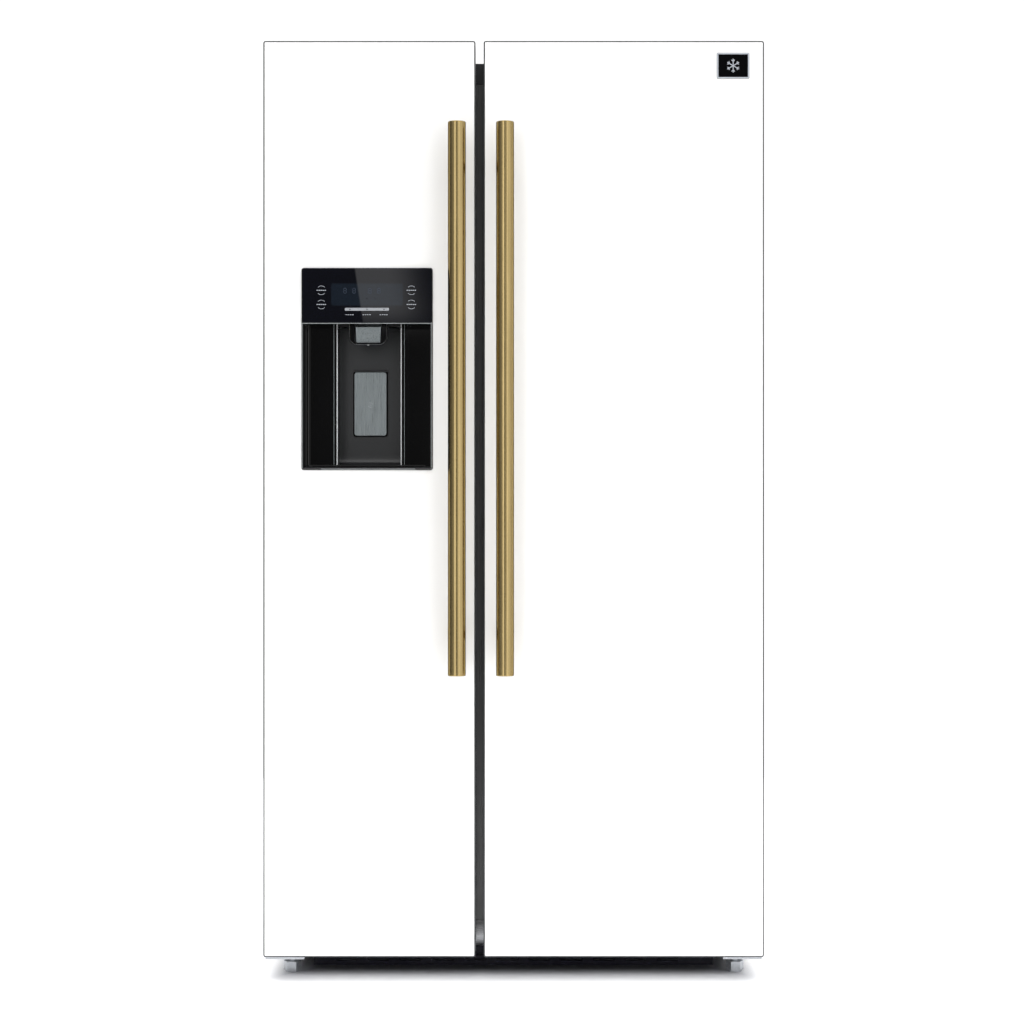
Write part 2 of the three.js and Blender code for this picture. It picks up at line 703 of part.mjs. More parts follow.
/** Finned condenser with the shroud and motor of its fan. */
function condenser() {
  const [y0, y1] = [machineFront + CONDENSER_MARGIN, cabinetBack - CONDENSER_MARGIN];
  const finTop = condenserZ + CONDENSER_HEIGHT;
  const fins = combOutline(CONDENSER_LEFT, CONDENSER_RIGHT - 4, condenserZ, finTop, 8, 16, 2);
  const plateX = CONDENSER_RIGHT;
  const barX = fanX + 34;
  const armZ = fanZ + CONDENSER_FAN_RADIUS + 8;
  return shape(
    [
      prismY(fins, y0, y1),
      block(plateX - 5, plateX + 3, y0, y1, condenserZ, finTop),
      block(plateX, barX, compressorY - 12, compressorY + 12, condenserZ, condenserZ + 6),
      block(plateX, barX, compressorY - 12, compressorY + 12, armZ, armZ + 6),
      block(barX - 5, barX, compressorY - 12, compressorY + 12, condenserZ, armZ + 6),
      rod("x", 20, compressorY, fanZ, barX - 16, barX + 14, 16),
      rod("x", 3, compressorY, fanZ, fanX - 2, barX, 10),
    ],
    [rod("x", CONDENSER_FAN_RADIUS + 4, compressorY, fanZ, plateX - 4, plateX + 4, 24)],
  );
}

/** An axial fan with pitched blades round a bored hub, turning about X. */
function fan(radius, hub, bore, blades) {
  const made = [rod("x", hub, 0, 0, -8, 8, 16)];
  for (let i = 0; i < blades; i++) {
    const blade = new THREE.BoxGeometry(2, radius * 0.62, radius - hub + 4);
    blade.rotateZ(0.5).translate(0, 0, (radius + hub) / 2 - 2);
    made.push(blade.rotateX((2 * Math.PI * i) / blades));
  }
  return shape(made, [rod("x", bore, 0, 0, -9, 9, 10)]);
}

/** Steel cover over the rear of the machine compartment: rows of air slots and an empty cable gland. */
function machineCover() {
  const half = cabinetSide - SHEET - FIT - 1;
  const [z0, z1] = [cabinetBottom + FIT, machineTop - FIT];
  const slots = [];
  for (let x = -half + SLOT_MARGIN; x < half - SLOT_PITCH; x += SLOT_PITCH) {
    for (let z = z0 + 40; z < z1 - 30; z += SLOT_ROW) {
      slots.push(block(x, x + SLOT_LENGTH, cabinetBack - 3, cabinetBack + 1, z, z + SLOT_HEIGHT));
    }
  }
  const glandZ = z0 + 20;
  return shape(
    [
      block(-half, half, cabinetBack - SHEET, cabinetBack, z0, z1),
      rod("y", GLAND_RADIUS, GLAND_X, glandZ, cabinetBack - GLAND_DEPTH, cabinetBack - SHEET / 2),
    ],
    [...slots, rod("y", GLAND_BORE, GLAND_X, glandZ, cabinetBack - GLAND_DEPTH - 1, cabinetBack + 1, 12)],
  );
}

// ---------------------------------------------------------------- inside the freezer

const freezerMid = (freezerBay.left + freezerBay.right) / 2;
const evaporatorZ = stepTop + 130;
const evaporatorFanZ = bucketBottom - 170;
const evaporatorFanY = evaporatorCoverY + 22;

/** Finned evaporator behind the freezer's rear cover. */
function evaporator() {
  const [x0, x1] = [freezerMid - EVAPORATOR_WIDTH / 2, freezerMid + EVAPORATOR_WIDTH / 2];
  const fins = combOutline(x0, x1, bayBack - 8, bayBack - 58, -5, 21, 1.5);
  return prismZ(fins, evaporatorZ, evaporatorZ + EVAPORATOR_HEIGHT);
}

/** Rear cover of the freezer: air grille, fan bracket behind it, and the auger's drive at the top. */
function evaporatorCover() {
  const [x0, x1] = [freezerBay.left + FIT + LEDGE_WIDTH, freezerBay.right - FIT - LEDGE_WIDTH];
  const [z0, z1] = [stepTop + FIT, bayCeiling - FIT];
  const [front, back] = [evaporatorCoverY, evaporatorCoverY + COVER_SHEET];
  const motorY = evaporatorFanY + 12;
  const bracketTop = evaporatorFanZ + EVAPORATOR_FAN_RADIUS + 20;
  const slat = (x) => {
    const half = Math.sqrt(EVAPORATOR_FAN_RADIUS ** 2 - x ** 2) - 4;
    const middle = freezerMid + x;
    return block(middle - 5, middle + 5, front - 1, back + 1, evaporatorFanZ - half, evaporatorFanZ + half);
  };
  return shape(
    [
      block(x0, x1, front, back, z0, z1),
      block(freezerMid - 8, freezerMid + 8, front + 1, motorY + 4, bracketTop - 4, bracketTop),
      block(freezerMid - 8, freezerMid + 8, motorY, motorY + 4, evaporatorFanZ, bracketTop),
      rod("y", 15, freezerMid, evaporatorFanZ, motorY, motorY + 20, 14),
      rod("y", EVAPORATOR_FAN_SHAFT, freezerMid, evaporatorFanZ, evaporatorFanY - 6, motorY + 1, 8),
      block(augerX - 24, augerX + 24, bucketBack + 2, front + 1, augerZ - 24, augerZ + 24),
    ],
    [
      ...[-40, -24, -8, 8, 24, 40].map(slat),
      rod("y", AUGER_SHAFT + RUN, augerX, augerZ, bucketBack + 1, front - 2),
    ],
  );
}

const bucketLeft = freezerBay.left + LEDGE_WIDTH + 3;
const bucketRight = freezerBay.right - LEDGE_WIDTH - 3;
const bucketFlangeZ = bucketBottom + BUCKET_HEIGHT - 40;
const bucketBack = evaporatorCoverY - BUCKET_BACK_GAP;
const bucketDepth = bucketBack - insideFront;
const noseX = dispenserMid - hingeX;
const augerZ = bucketBottom + BUCKET_WALL + AUGER_RADIUS + TROUGH_GAP;
const augerX = noseX;

/** Cross-section of the ice bucket in [x, z]: upright sides, slopes, and a trough round the auger. */
function bucketOutline(shrink, top) {
  const [x0, x1] = [bucketLeft + shrink, bucketRight - shrink];
  const trough = AUGER_RADIUS + TROUGH_GAP + BUCKET_WALL - shrink;
  return [
    [x0, top],
    [x0, augerZ + BUCKET_SLOPE],
    ...arc(augerX, augerZ, trough, 180, 360, 10),
    [x1, augerZ + BUCKET_SLOPE],
    [x1, top],
  ];
}

/** Ice bucket: a hopper over its auger, side flanges, and a spout that overhangs the door's funnel. */
function iceBucket() {
  const top = bucketBottom + BUCKET_HEIGHT;
  const wall = BUCKET_WALL;
  const half = NOSE_WIDTH / 2;
  const noseTop = bucketBottom + NOSE_HEIGHT;
  const flange = (x0, x1) => block(x0, x1, insideFront, bucketBack, bucketFlangeZ, bucketFlangeZ + 4);
  return shape(
    [
      prismY(bucketOutline(0, top), insideFront, bucketBack),
      block(noseX - half, noseX + half, insideFront - NOSE_REACH, insideFront + wall, bucketBottom, noseTop),
      flange(freezerBay.left + 2, bucketLeft + 1),
      flange(bucketRight - 1, freezerBay.right - 2),
    ],
    [
      prismY(bucketOutline(wall, top + 1), insideFront + wall, bucketBack - wall),
      block(
        noseX - half + wall, noseX + half - wall, insideFront - NOSE_REACH + wall, insideFront + wall + 1,
        bucketBottom - 1, noseTop - wall,
      ),
      rod("y", AUGER_SHAFT + 3, augerX, augerZ, bucketBack - 10, bucketBack + 1),
    ],
  );
}

/** Screw that drives the ice forward: a flat flight wound round a shaft. Turns about Y. */
function iceAuger() {
  const length = bucketDepth - 2 * BUCKET_WALL - 12;
  const start = -length / 2;
  const helix = new THREE.Curve();
  helix.getPoint = (t) => {
    const angle = 2 * Math.PI * AUGER_TURNS * t;
    const reach = (AUGER_RADIUS + AUGER_SHAFT) / 2;
    return new THREE.Vector3(reach * Math.cos(angle), start + 8 + (length - 16) * t, reach * Math.sin(angle));
  };
  const half = (AUGER_RADIUS - AUGER_SHAFT) / 2 + 1;
  const section = new THREE.Shape([
    new THREE.Vector2(-2, -half),
    new THREE.Vector2(2, -half),
    new THREE.Vector2(2, half),
    new THREE.Vector2(-2, half),
  ]);
  const steps = AUGER_TURNS * 18;
  const flight = flightAlong(helix, section, steps);
  return shape([rod("y", AUGER_SHAFT, 0, 0, start, length / 2 + 22, 12), flight]);
}

/** A flat flight along a helix about Y, with its section always facing the axis. */
function flightAlong(curve, section, steps) {
  const corners = section.getPoints();
  const positions = [];
  for (let i = 0; i <= steps; i++) {
    const centre = curve.getPoint(i / steps);
    const outward = new THREE.Vector3(centre.x, 0, centre.z).normalize();
    for (const corner of corners) {
      const point = centre.clone().addScaledVector(outward, corner.y);
      point.y += corner.x;
      positions.push(point.x, point.y, point.z);
    }
  }
  const n = corners.length;
  const index = [];
  for (let i = 0; i < steps; i++) {
    for (let j = 0; j < n; j++) {
      const a = i * n + j;
      const b = i * n + ((j + 1) % n);
      index.push(a, a + n, b, b, a + n, b + n);
    }
  }
  const last = steps * n;
  index.push(0, 1, 2, 0, 2, 3, last, last + 2, last + 1, last, last + 3, last + 2);
  const geometry = new THREE.BufferGeometry();
  geometry.setAttribute("position", new THREE.Float32BufferAttribute(positions, 3));
  geometry.setIndex(index);
  return solidOf(geometry).volume() < 0 ? flipped(geometry) : geometry;
}

/** The same geometry with its faces turned round. */
function flipped(geometry) {
  const index = Array.from(geometry.index.array);
  for (let i = 0; i < index.length; i += 3) [index[i + 1], index[i + 2]] = [index[i + 2], index[i + 1]];
  return geometry.setIndex(index);
}

/** Ice maker: a row of cups in a tray, with its drive box at the front, hung above the bucket. */
function iceMaker() {
  const z1 = bayCeiling - FIT;
  const z0 = z1 - ICE_MAKER_HEIGHT;
  const [y0, y1] = [insideFront + 30, insideFront + 30 + ICE_MAKER_DEPTH];
  const [x0, x1] = [freezerBay.left + FIT, freezerBay.left + ICE_MAKER_WIDTH];
  const mid = (x0 + x1) / 2;
  const cup = (ICE_MAKER_DEPTH - 66) / ICE_CUPS;
  const cups = Array.from({ length: ICE_CUPS }, (_, i) => {
    const y = y0 + 58 + cup * i;
    return rod("y", 38, mid, z0 + 48, y + 2, y + cup - 2, 16);
  });
  return shape(
    [block(x0, x1, y0, y0 + 54, z0, z1), block(x0, x1, y0 + 50, y1, z0, z0 + 46)],
    cups,
  );
}

// ---------------------------------------------------------------- shelves and drawers

/** A glass shelf with a deeper front edge. */
function shelf(bay, z, back) {
  const [x0, x1] = [bay.left + SHELF_SIDE_GAP, bay.right - SHELF_SIDE_GAP];
  return shape([
    block(x0, x1, insideFront, back, z, z + SHELF_THICKNESS),
    block(x0, x1, insideFront - 3, insideFront + 8, z, z + SHELF_LIP),
  ]);
}

/** A drawer with a thick front, a finger recess and lips that slide on the liner's ledges. */
function drawer(bay, back) {
  const half = (bay.right - bay.left) / 2;
  const body = half - DRAWER_SIDE_GAP;
  const lip = half - 3;
  const depth = back - insideFront;
  const top = DRAWER_HEIGHT;
  const wall = DRAWER_WALL;
  return shape(
    [
      block(-body, body, 0, depth, 0, top),
      block(-lip, lip, 14, depth, top - DRAWER_LIP, top),
      block(-lip, lip, 0, DRAWER_FRONT, 0, top - DRAWER_LIP - LEDGE_HEIGHT - 1),
    ],
    [
      block(-body + wall, body - wall, DRAWER_FRONT, depth - wall, wall, top + 1),
      block(-body * 0.45, body * 0.45, -1, 8, top - 34, top - 14),
    ],
  );
}

// ---------------------------------------------------------------- doors

/** Sizes of one door in its own a and q, with the compartment it closes. */
function doorSizes(width, bayHingeSide, bayFreeSide) {
  const free = width - HINGE_INSET;
  const ridgeHinge = bayHingeSide + RIDGE_CLEARANCE;
  const reach = bayFreeSide - 4;
  const ridgeFree = Math.sqrt(reach ** 2 - (doorBackQ + RIDGE_HEIGHT) ** 2) - 3;
  return { free, ridgeHinge, ridgeFree };
}

const freezerDoor = doorSizes(FREEZER_DOOR_WIDTH, hingeX + freezerBay.left, hingeX + freezerBay.right);
const fridgeDoor = doorSizes(FRIDGE_DOOR_WIDTH, hingeX - fridgeBay.right, hingeX - fridgeBay.left);

/** The glass front of a door, less any openings. dir is +1 on a left hinge and -1 on a right one. */
function doorPanel(door, dir, openings) {
  return shape(
    [block(dir * -HINGE_INSET, dir * door.free, doorFrontQ, doorFrontQ + FRONT_GLASS, DOOR_BOTTOM, doorTop)],
    openings,
  );
}

/** Folded steel frame of a door with its end caps, hinge bores and the pocket for the upper hinge. */
function doorFrame(door, dir, openings) {
  const edge = 0.6;
  const [a0, a1] = [edge - HINGE_INSET, door.free - edge];
  const pin = HINGE_PIN + RUN;
  return shape(
    [block(dir * a0, dir * a1, frameFrontQ, doorBackQ, DOOR_BOTTOM + edge, doorTop - edge)],
    [
      block(
        dir * (a0 + FRAME_SHEET), dir * (a1 - FRAME_SHEET), frameFrontQ + FRAME_SHEET, doorBackQ + 1,
        DOOR_BOTTOM + BOTTOM_CAP, doorTop - TOP_CAP,
      ),
      rod("z", pin, 0, 0, DOOR_BOTTOM - 1, DOOR_BOTTOM + BOTTOM_CAP - 4),
      rod("z", pin, 0, 0, doorTop - TOP_CAP + 4, doorTop),
      block(dir * (a0 - 1), dir * 25, frameFrontQ + 1, doorBackQ + 1, cabinetTop - 2, doorTop + 1),
      ...openings,
    ],
  );
}

/** Plate and ridges of a door liner, as a solid and as the hollow behind its skin. */
function linerForms(door, dir) {
  const [z0, z1] = [DOOR_BOTTOM + BOTTOM_CAP + FIT, doorTop - TOP_CAP - FIT];
  const [r0, r1] = [bayFloor + RIDGE_CLEARANCE, bayCeiling - RIDGE_CLEARANCE];
  const skin = DOOR_LINER;
  const inset = FRAME_SHEET + FIT + 0.6;
  const ridge = (grow, reach) => {
    const { ridgeHinge: h, ridgeFree: f } = door;
    const q0 = doorBackQ - skin - 1;
    const q1 = doorBackQ + reach;
    return [
      block(dir * (h - grow), dir * (h + RIDGE_WIDTH + grow), q0, q1, r0 - grow, r1 + grow),
      block(dir * (f - RIDGE_WIDTH - grow), dir * (f + grow), q0, q1, r0 - grow, r1 + grow),
    ];
  };
  return {
    plate: block(
      dir * (inset - HINGE_INSET), dir * (door.free - inset), doorBackQ - skin, doorBackQ, z0, z1,
    ),
    ridges: ridge(0, RIDGE_HEIGHT),
    hollows: ridge(-skin, RIDGE_HEIGHT - skin),
  };
}

/** Inner liner of the refrigerator door. */
function fridgeDoorLiner() {
  const { plate, ridges, hollows } = linerForms(fridgeDoor, -1);
  return shape([plate, ...ridges], hollows);
}

const bumpLeft = freezerDoor.ridgeHinge;
const bumpRight = freezerDoor.ridgeFree;
const bumpBackQ = doorBackQ + BUMP_REACH;

/** Inner liner of the freezer door, bulging round the dispenser, with a mouth for the ice funnel. */
function freezerDoorLiner() {
  const { plate, ridges, hollows } = linerForms(freezerDoor, 1);
  const skin = DOOR_LINER;
  const q0 = doorBackQ - skin - 1;
  const outline = (grow) => [
    [q0, bumpBottom - grow],
    [bumpBackQ - BUMP_BEVEL, bumpBottom - grow],
    [bumpBackQ + grow, bumpBottom + BUMP_BEVEL],
    [bumpBackQ + grow, bumpTop + grow],
    [q0, bumpTop + grow],
  ];
  const right = Math.sqrt((bumpRight + BUMP_SWING) ** 2 - bumpBackQ ** 2) - BUMP_CLEARANCE;
  const mouth = block(
    dispenserMid - FUNNEL_WIDTH / 2 - MOUTH_GAP, dispenserMid + FUNNEL_WIDTH / 2 + MOUTH_GAP,
    funnelTopQ - FUNNEL_LENGTH / 2 - MOUTH_GAP, funnelTopQ + FUNNEL_LENGTH / 2 + MOUTH_GAP,
    bumpTop - 10, bumpTop + 1,
  );
  return shape(
    [plate, ...ridges, prismX(outline(0), bumpLeft, right)],
    [...hollows, prismX(outline(-skin), bumpLeft + skin, right - skin), mouth],
  );
}

/** Magnetic gasket round a door's rear face. */
function gasket(door, dir) {
  const [a0, a1] = [GASKET_HINGE_INSET - HINGE_INSET, door.free - GASKET_FREE_INSET];
  const [z0, z1] = [DOOR_BOTTOM + BOTTOM_CAP, cabinetTop - 17];
  const [q0, q1] = [doorBackQ + FIT, doorBackQ + SEAL_GAP - FIT];
  const w = GASKET_WIDTH;
  return shape(
    [block(dir * a0, dir * a1, q0, q1, z0, z1)],
    [block(dir * (a0 + w), dir * (a1 - w), q0 - 1, q1 + 1, z0 + w, z1 - w)],
  );
}

/** Bar handle: a round bar with chamfered ends on two posts. */
function handle(door, dir, inset) {
  const a = dir * (door.free - inset);
  const q = doorFrontQ - HANDLE_STANDOFF;
  const r = HANDLE_DIAMETER / 2;
  const profile = [
    [0, 0],
    [r - HANDLE_CHAMFER, 0],
    [r, HANDLE_CHAMFER],
    [r, HANDLE_LENGTH - HANDLE_CHAMFER],
    [r - HANDLE_CHAMFER, HANDLE_LENGTH],
    [0, HANDLE_LENGTH],
  ].map(([x, y]) => new THREE.Vector2(x, y));
  const bar = new THREE.LatheGeometry(profile, 32).rotateX(Math.PI / 2).translate(a, q, HANDLE_BOTTOM);
  const posts = [HANDLE_POST_INSET, HANDLE_LENGTH - HANDLE_POST_INSET].map((z) =>
    rod("y", HANDLE_POST, a, HANDLE_BOTTOM + z, q, doorFrontQ - FIT, 16),
  );
  return shape([bar, ...posts]);
}

/** A door bin: an open tub between the liner's ridges. Its origin is its floor. */
function doorBin(door, dir, height) {
  const [a0, a1] = binSpan(door);
  const ends = [dir * a0, dir * a1].sort((x, y) => x - y);
  return tub(ends[0], ends[1], doorBackQ + BIN_CLEARANCE, doorBackQ + BIN_REACH, 0, height, BIN_WALL);
}

/** Where a bin starts and ends between a door's ridges. */
function binSpan(door) {
  return [
    door.ridgeHinge + RIDGE_WIDTH + BIN_CLEARANCE,
    door.ridgeFree - RIDGE_WIDTH - BIN_CLEARANCE,
  ];
}

const upperBinZ = bayCeiling - UPPER_BIN_DROP;
const dairyPivotZ = upperBinZ + BIN_HEIGHT + 22;
const dairyPivotQ = doorBackQ + BIN_REACH - 6;
const [dairyNear, dairyFar] = binSpan(fridgeDoor);

/** Dairy compartment: a low tub with tall cheeks, bored for the cover's pivots. */
function dairyBin() {
  const q0 = doorBackQ + BIN_CLEARANCE;
  const q1 = doorBackQ + BIN_REACH;
  const top = BIN_HEIGHT + 28;
  const wall = BIN_WALL;
  return shape(
    [block(-dairyFar, -dairyNear, q0, q1, 0, top)],
    [
      block(-dairyFar + wall, -dairyNear - wall, q0 + wall, q1 - wall, wall, top + 1),
      block(-dairyFar + wall, -dairyNear - wall, q1 - wall - 1, q1 + 1, BIN_HEIGHT - 52, top + 1),
      rod("x", DAIRY_PIVOT + 0.5, dairyPivotQ, dairyPivotZ - upperBinZ, -dairyFar - 1, -dairyNear + 1, 12),
    ],
  );
}

/** Flap over the dairy compartment, hung from stub pivots. Its origin is on the pivot. */
function dairyCover() {
  const half = (dairyFar - dairyNear) / 2;
  const body = half - BIN_WALL - 1;
  return shape([
    block(-body, body, -1.5, 1.5, -DAIRY_COVER_HEIGHT, 1),
    rod("x", DAIRY_PIVOT, 0, 0, -half + 0.5, half - 0.5, 12),
  ]);
}

// ---------------------------------------------------------------- dispenser

const dispenserOpening = block(
  dispenserLeft + openingInset, dispenserRight - openingInset, doorFrontQ - 1, frameFrontQ + FRAME_SHEET + 1,
  dispenserBottom + openingInset, dispenserTop - openingInset,
);
const funnelTopQ = bumpBackQ - DOOR_LINER - FUNNEL_LENGTH / 2 - 3;
const funnelEndQ = doorFrontQ + NOZZLE_DEPTH;
const wingBackQ = doorFrontQ + WING_DEPTH;
const trayZ = dispenserBottom + BEZEL + FIT;
const paddleZ = recessTop - PADDLE_TOP;
const paddleQ = recessBackQ - 3 - PADDLE_THICKNESS / 2;

/** Slanted tube outline in [q, z] from the liner's mouth to the recess's ceiling. */
function funnelOutline(shrink) {
  const half = FUNNEL_LENGTH / 2 - shrink;
  const [top, bottom] = [bumpTop - FIT, recessTop + (shrink ? -8 : 0)];
  return [
    [funnelEndQ - half, bottom],
    [funnelEndQ + half, bottom],
    [funnelTopQ + half, top + (shrink ? 1 : 0)],
    [funnelTopQ - half, top + (shrink ? 1 : 0)],
  ];
}

/** Moulded dispenser housing: rim, recess, paddle pocket, pivot ears and the ice funnel above it. */
function dispenserHousing() {
  const gap = openingInset + FIT;
  const [a0, a1] = [dispenserLeft, dispenserRight];
  const [z0, z1] = [dispenserBottom, dispenserTop];
  const wall = HOUSING_WALL;
  const mouth = doorFrontQ - BEZEL_PROUD - 1;
  const half = CHANNEL_WIDTH / 2;
  const pocket = PADDLE_WIDTH / 2 + 4;
  const funnel = FUNNEL_WIDTH / 2;
  const [p0, p1] = [paddleZ - PADDLE_HEIGHT - 6, paddleZ + 8];
  const aroundMid = (reach, q0, q1, low, high) =>
    block(dispenserMid - reach, dispenserMid + reach, q0, q1, low, high);
  const hull = shape(
    [
      block(a0, a1, doorFrontQ - BEZEL_PROUD, doorFrontQ - FIT, z0, z1),
      block(a0 + gap, a1 - gap, doorFrontQ - 1, wingBackQ + wall, z0 + gap, recessTop + wall),
      aroundMid(half + wall, doorFrontQ, recessBackQ + wall, z0 + gap, recessTop + wall),
      aroundMid(pocket + wall, recessBackQ, recessBackQ + PADDLE_POCKET + wall, p0 - wall, p1 + wall),
      prismX(funnelOutline(0), dispenserMid - funnel, dispenserMid + funnel),
    ],
    [
      block(a0 + BEZEL + wall, a1 - BEZEL - wall, mouth, wingBackQ, z0 + BEZEL, recessTop - wall),
      aroundMid(half, mouth, recessBackQ, z0 + BEZEL, recessTop - wall),
      aroundMid(pocket, recessBackQ - 1, recessBackQ + PADDLE_POCKET, p0, p1),
      prismX(
        funnelOutline(FUNNEL_WALL), dispenserMid - funnel + FUNNEL_WALL, dispenserMid + funnel - FUNNEL_WALL,
      ),
    ],
  );
  const ears = [-1, 1].map((hand) => {
    const near = dispenserMid + hand * (PADDLE_WIDTH / 2 + 1);
    return block(near, near + hand * 7, paddleQ - 6, recessBackQ + wall, paddleZ - 6, paddleZ + 7);
  });
  const reach = PADDLE_WIDTH / 2 + 5;
  const bore = rod("x", PADDLE_PIVOT + 0.5, paddleQ, paddleZ, dispenserMid - reach, dispenserMid + reach);
  return shape([hull, ...ears], [bore]);
}

/** Black glass control panel over the upper part of the dispenser. */
function dispenserPanel() {
  const front = doorFrontQ - BEZEL_PROUD - FIT;
  return block(
    dispenserLeft + 1, dispenserRight - 1, front - 2, front, recessTop + 1, dispenserTop - 1,
  );
}

/** Metal ice and water nozzle under the recess's ceiling, tapered and open right through. */
function dispenserNozzle() {
  const top = recessTop - HOUSING_WALL - FIT;
  const outline = (wall, over) => {
    const [upper, lower] = [NOZZLE_TOP / 2 - wall, NOZZLE_TIP / 2 - wall];
    return [
      [dispenserMid - upper, top + over],
      [dispenserMid - lower, top - NOZZLE_HEIGHT - over],
      [dispenserMid + lower, top - NOZZLE_HEIGHT - over],
      [dispenserMid + upper, top + over],
    ];
  };
  const [q0, q1] = [funnelEndQ - NOZZLE_TOP / 2, funnelEndQ + NOZZLE_TOP / 2];
  const wall = NOZZLE_WALL;
  return shape([prismY(outline(0, 0), q0, q1)], [prismY(outline(wall, 1), q0 + wall, q1 - wall)]);
}

/** Push paddle hung at its top. Its origin is on the pivot. */
function dispenserPaddle() {
  const half = PADDLE_WIDTH / 2;
  const t = PADDLE_THICKNESS / 2;
  return shape([
    block(-half, half, -t, t, -PADDLE_HEIGHT + 4, 4),
    rod("x", PADDLE_PIVOT, 0, 0, -half - 3, half + 3, 12),
  ]);
}

/** Slotted drip tray on the recess's floor. */
function dripTray() {
  const [a0, a1] = [dispenserLeft + BEZEL + HOUSING_WALL + 1, dispenserRight - BEZEL - HOUSING_WALL - 1];
  const [q0, q1] = [doorFrontQ + 1, doorFrontQ + 50];
  const pitch = (a1 - a0 - 20) / TRAY_SLOTS;
  const slots = Array.from({ length: TRAY_SLOTS }, (_, i) => {
    const a = a0 + 10 + pitch * i;
    return block(a + 4, a + pitch - 4, q0 + 8, q1 - 6, trayZ + TRAY_HEIGHT - 4, trayZ + TRAY_HEIGHT + 1);
  });
  return shape(
    [block(a0, a1, q0, q1, trayZ, trayZ + TRAY_HEIGHT)],
    [block(a0 + 3, a1 - 3, q0 + 3, q1 - 3, trayZ + 2, trayZ + TRAY_HEIGHT - 3), ...slots],
  );
}

// ---------------------------------------------------------------- assembly

const fridge = new THREE.Group();

function addCabinet() {
  const shelfBack = { freezer: evaporatorCoverY - 4, fridge: bayBack - 7 };
  place(fridge, "cabinet_shell", cabinetShell(), paintedSteel);
  place(fridge, "cabinet_foam", cabinetFoam(), foam);
  const freezerRests = [...freezerShelfZ, bucketFlangeZ];
  place(fridge, "freezer_liner", liner(freezerBay, freezerRests, shelfBack.freezer), whitePlastic);
  place(fridge, "fridge_liner", liner(fridgeBay, fridgeShelfZ, shelfBack.fridge), whitePlastic);
  place(fridge, "mullion_cover", mullionCover(), darkPaint);
  place(fridge, "top_trim", topTrim(), blackPlastic);
  place(fridge, "bottom_beam", bottomBeam(), darkPaint);
  place(fridge, "base_frame", baseFrame(), zinc);
  place(fridge, "kick_plate", kickPlate(), blackPlastic);
  for (const [hand, side] of [[-1, "left"], [1, "right"]]) {
    place(fridge, `top_hinge_${side}`, topHinge(hand), zinc);
    place(fridge, `hinge_cover_${side}`, hingeCover(hand), blackPlastic);
    place(fridge, `lower_hinge_${side}`, lowerHinge(hand), zinc);
    place(bodyAt(fridge, hand * footX, footY, 0), `levelling_foot_${side}`, levellingFoot(), zinc);
    const roller = bodyAt(fridge, hand * rollerX, rollerY, ROLLER_RADIUS);
    place(roller, `rear_roller_${side}`, rearRoller(), darkRubber);
  }
  freezerShelfZ.forEach((z, i) => {
    place(fridge, `freezer_shelf_${i + 1}`, shelf(freezerBay, z, shelfBack.freezer), clearGlass);
  });
  fridgeShelfZ.forEach((z, i) => {
    place(fridge, `fridge_shelf_${i + 1}`, shelf(fridgeBay, z, shelfBack.fridge), clearGlass);
  });
  const drawers = [
    ["freezer_drawer_lower", freezerBay, lowerDrawerZ, stepFront - 6],
    ["freezer_drawer_upper", freezerBay, upperDrawerZ, shelfBack.freezer],
    ["crisper_lower", fridgeBay, lowerDrawerZ, stepFront - 6],
    ["crisper_upper", fridgeBay, upperDrawerZ, shelfBack.fridge],
  ];
  for (const [name, bay, z, back] of drawers) {
    const group = bodyAt(fridge, (bay.left + bay.right) / 2, insideFront, z);
    place(group, name, drawer(bay, back), clearPlastic);
  }
}

function addMachines() {
  place(fridge, "compressor", compressor(), blackEnamel);
  place(fridge, "condenser", condenser(), blackEnamel);
  const warmFan = fan(CONDENSER_FAN_RADIUS, 14, 3.6, 5);
  place(bodyAt(fridge, fanX, compressorY, fanZ), "condenser_fan", warmFan, blackPlastic);
  place(fridge, "machine_cover", machineCover(), blackEnamel);
  place(fridge, "evaporator", evaporator(), aluminium);
  place(fridge, "evaporator_cover", evaporatorCover(), whitePlastic);
  const coldFan = fan(EVAPORATOR_FAN_RADIUS - 4, 12, 3, 4).rotateZ(Math.PI / 2);
  place(bodyAt(fridge, freezerMid, evaporatorFanY, evaporatorFanZ), "evaporator_fan", coldFan, whitePlastic);
  place(fridge, "ice_maker", iceMaker(), whitePlastic);
  place(fridge, "ice_bucket", iceBucket(), clearPlastic);
  const augerY = insideFront + bucketDepth / 2;
  place(bodyAt(fridge, augerX, augerY, augerZ), "ice_auger", iceAuger(), satinSilver);
}

function addFreezerDoor() {
  const door = bodyAt(fridge, -hingeX, hingeY, 0);
  place(door, "freezer_door_panel", doorPanel(freezerDoor, 1, [dispenserOpening]), whiteGlass);
  place(door, "freezer_door_frame", doorFrame(freezerDoor, 1, [dispenserOpening]), paintedSteel);
  place(door, "freezer_door_liner", freezerDoorLiner(), whitePlastic);
  place(door, "freezer_door_gasket", gasket(freezerDoor, 1), rubberSeal);
  place(door, "freezer_handle", handle(freezerDoor, 1, FREEZER_HANDLE_INSET), brass);
  place(door, "dispenser_housing", dispenserHousing(), gloss);
  place(door, "dispenser_panel", dispenserPanel(), gloss);
  place(door, "dispenser_nozzle", dispenserNozzle(), satinSilver);
  place(door, "drip_tray", dripTray(), blackPlastic);
  for (const [name, z] of [["freezer_bin_upper", upperBinZ], ["freezer_bin_lower", FREEZER_LOWER_BIN]]) {
    place(bodyAt(door, 0, 0, z), name, doorBin(freezerDoor, 1, BIN_HEIGHT), clearPlastic);
  }
  place(bodyAt(door, dispenserMid, paddleQ, paddleZ), "dispenser_paddle", dispenserPaddle(), satinSilver);
}

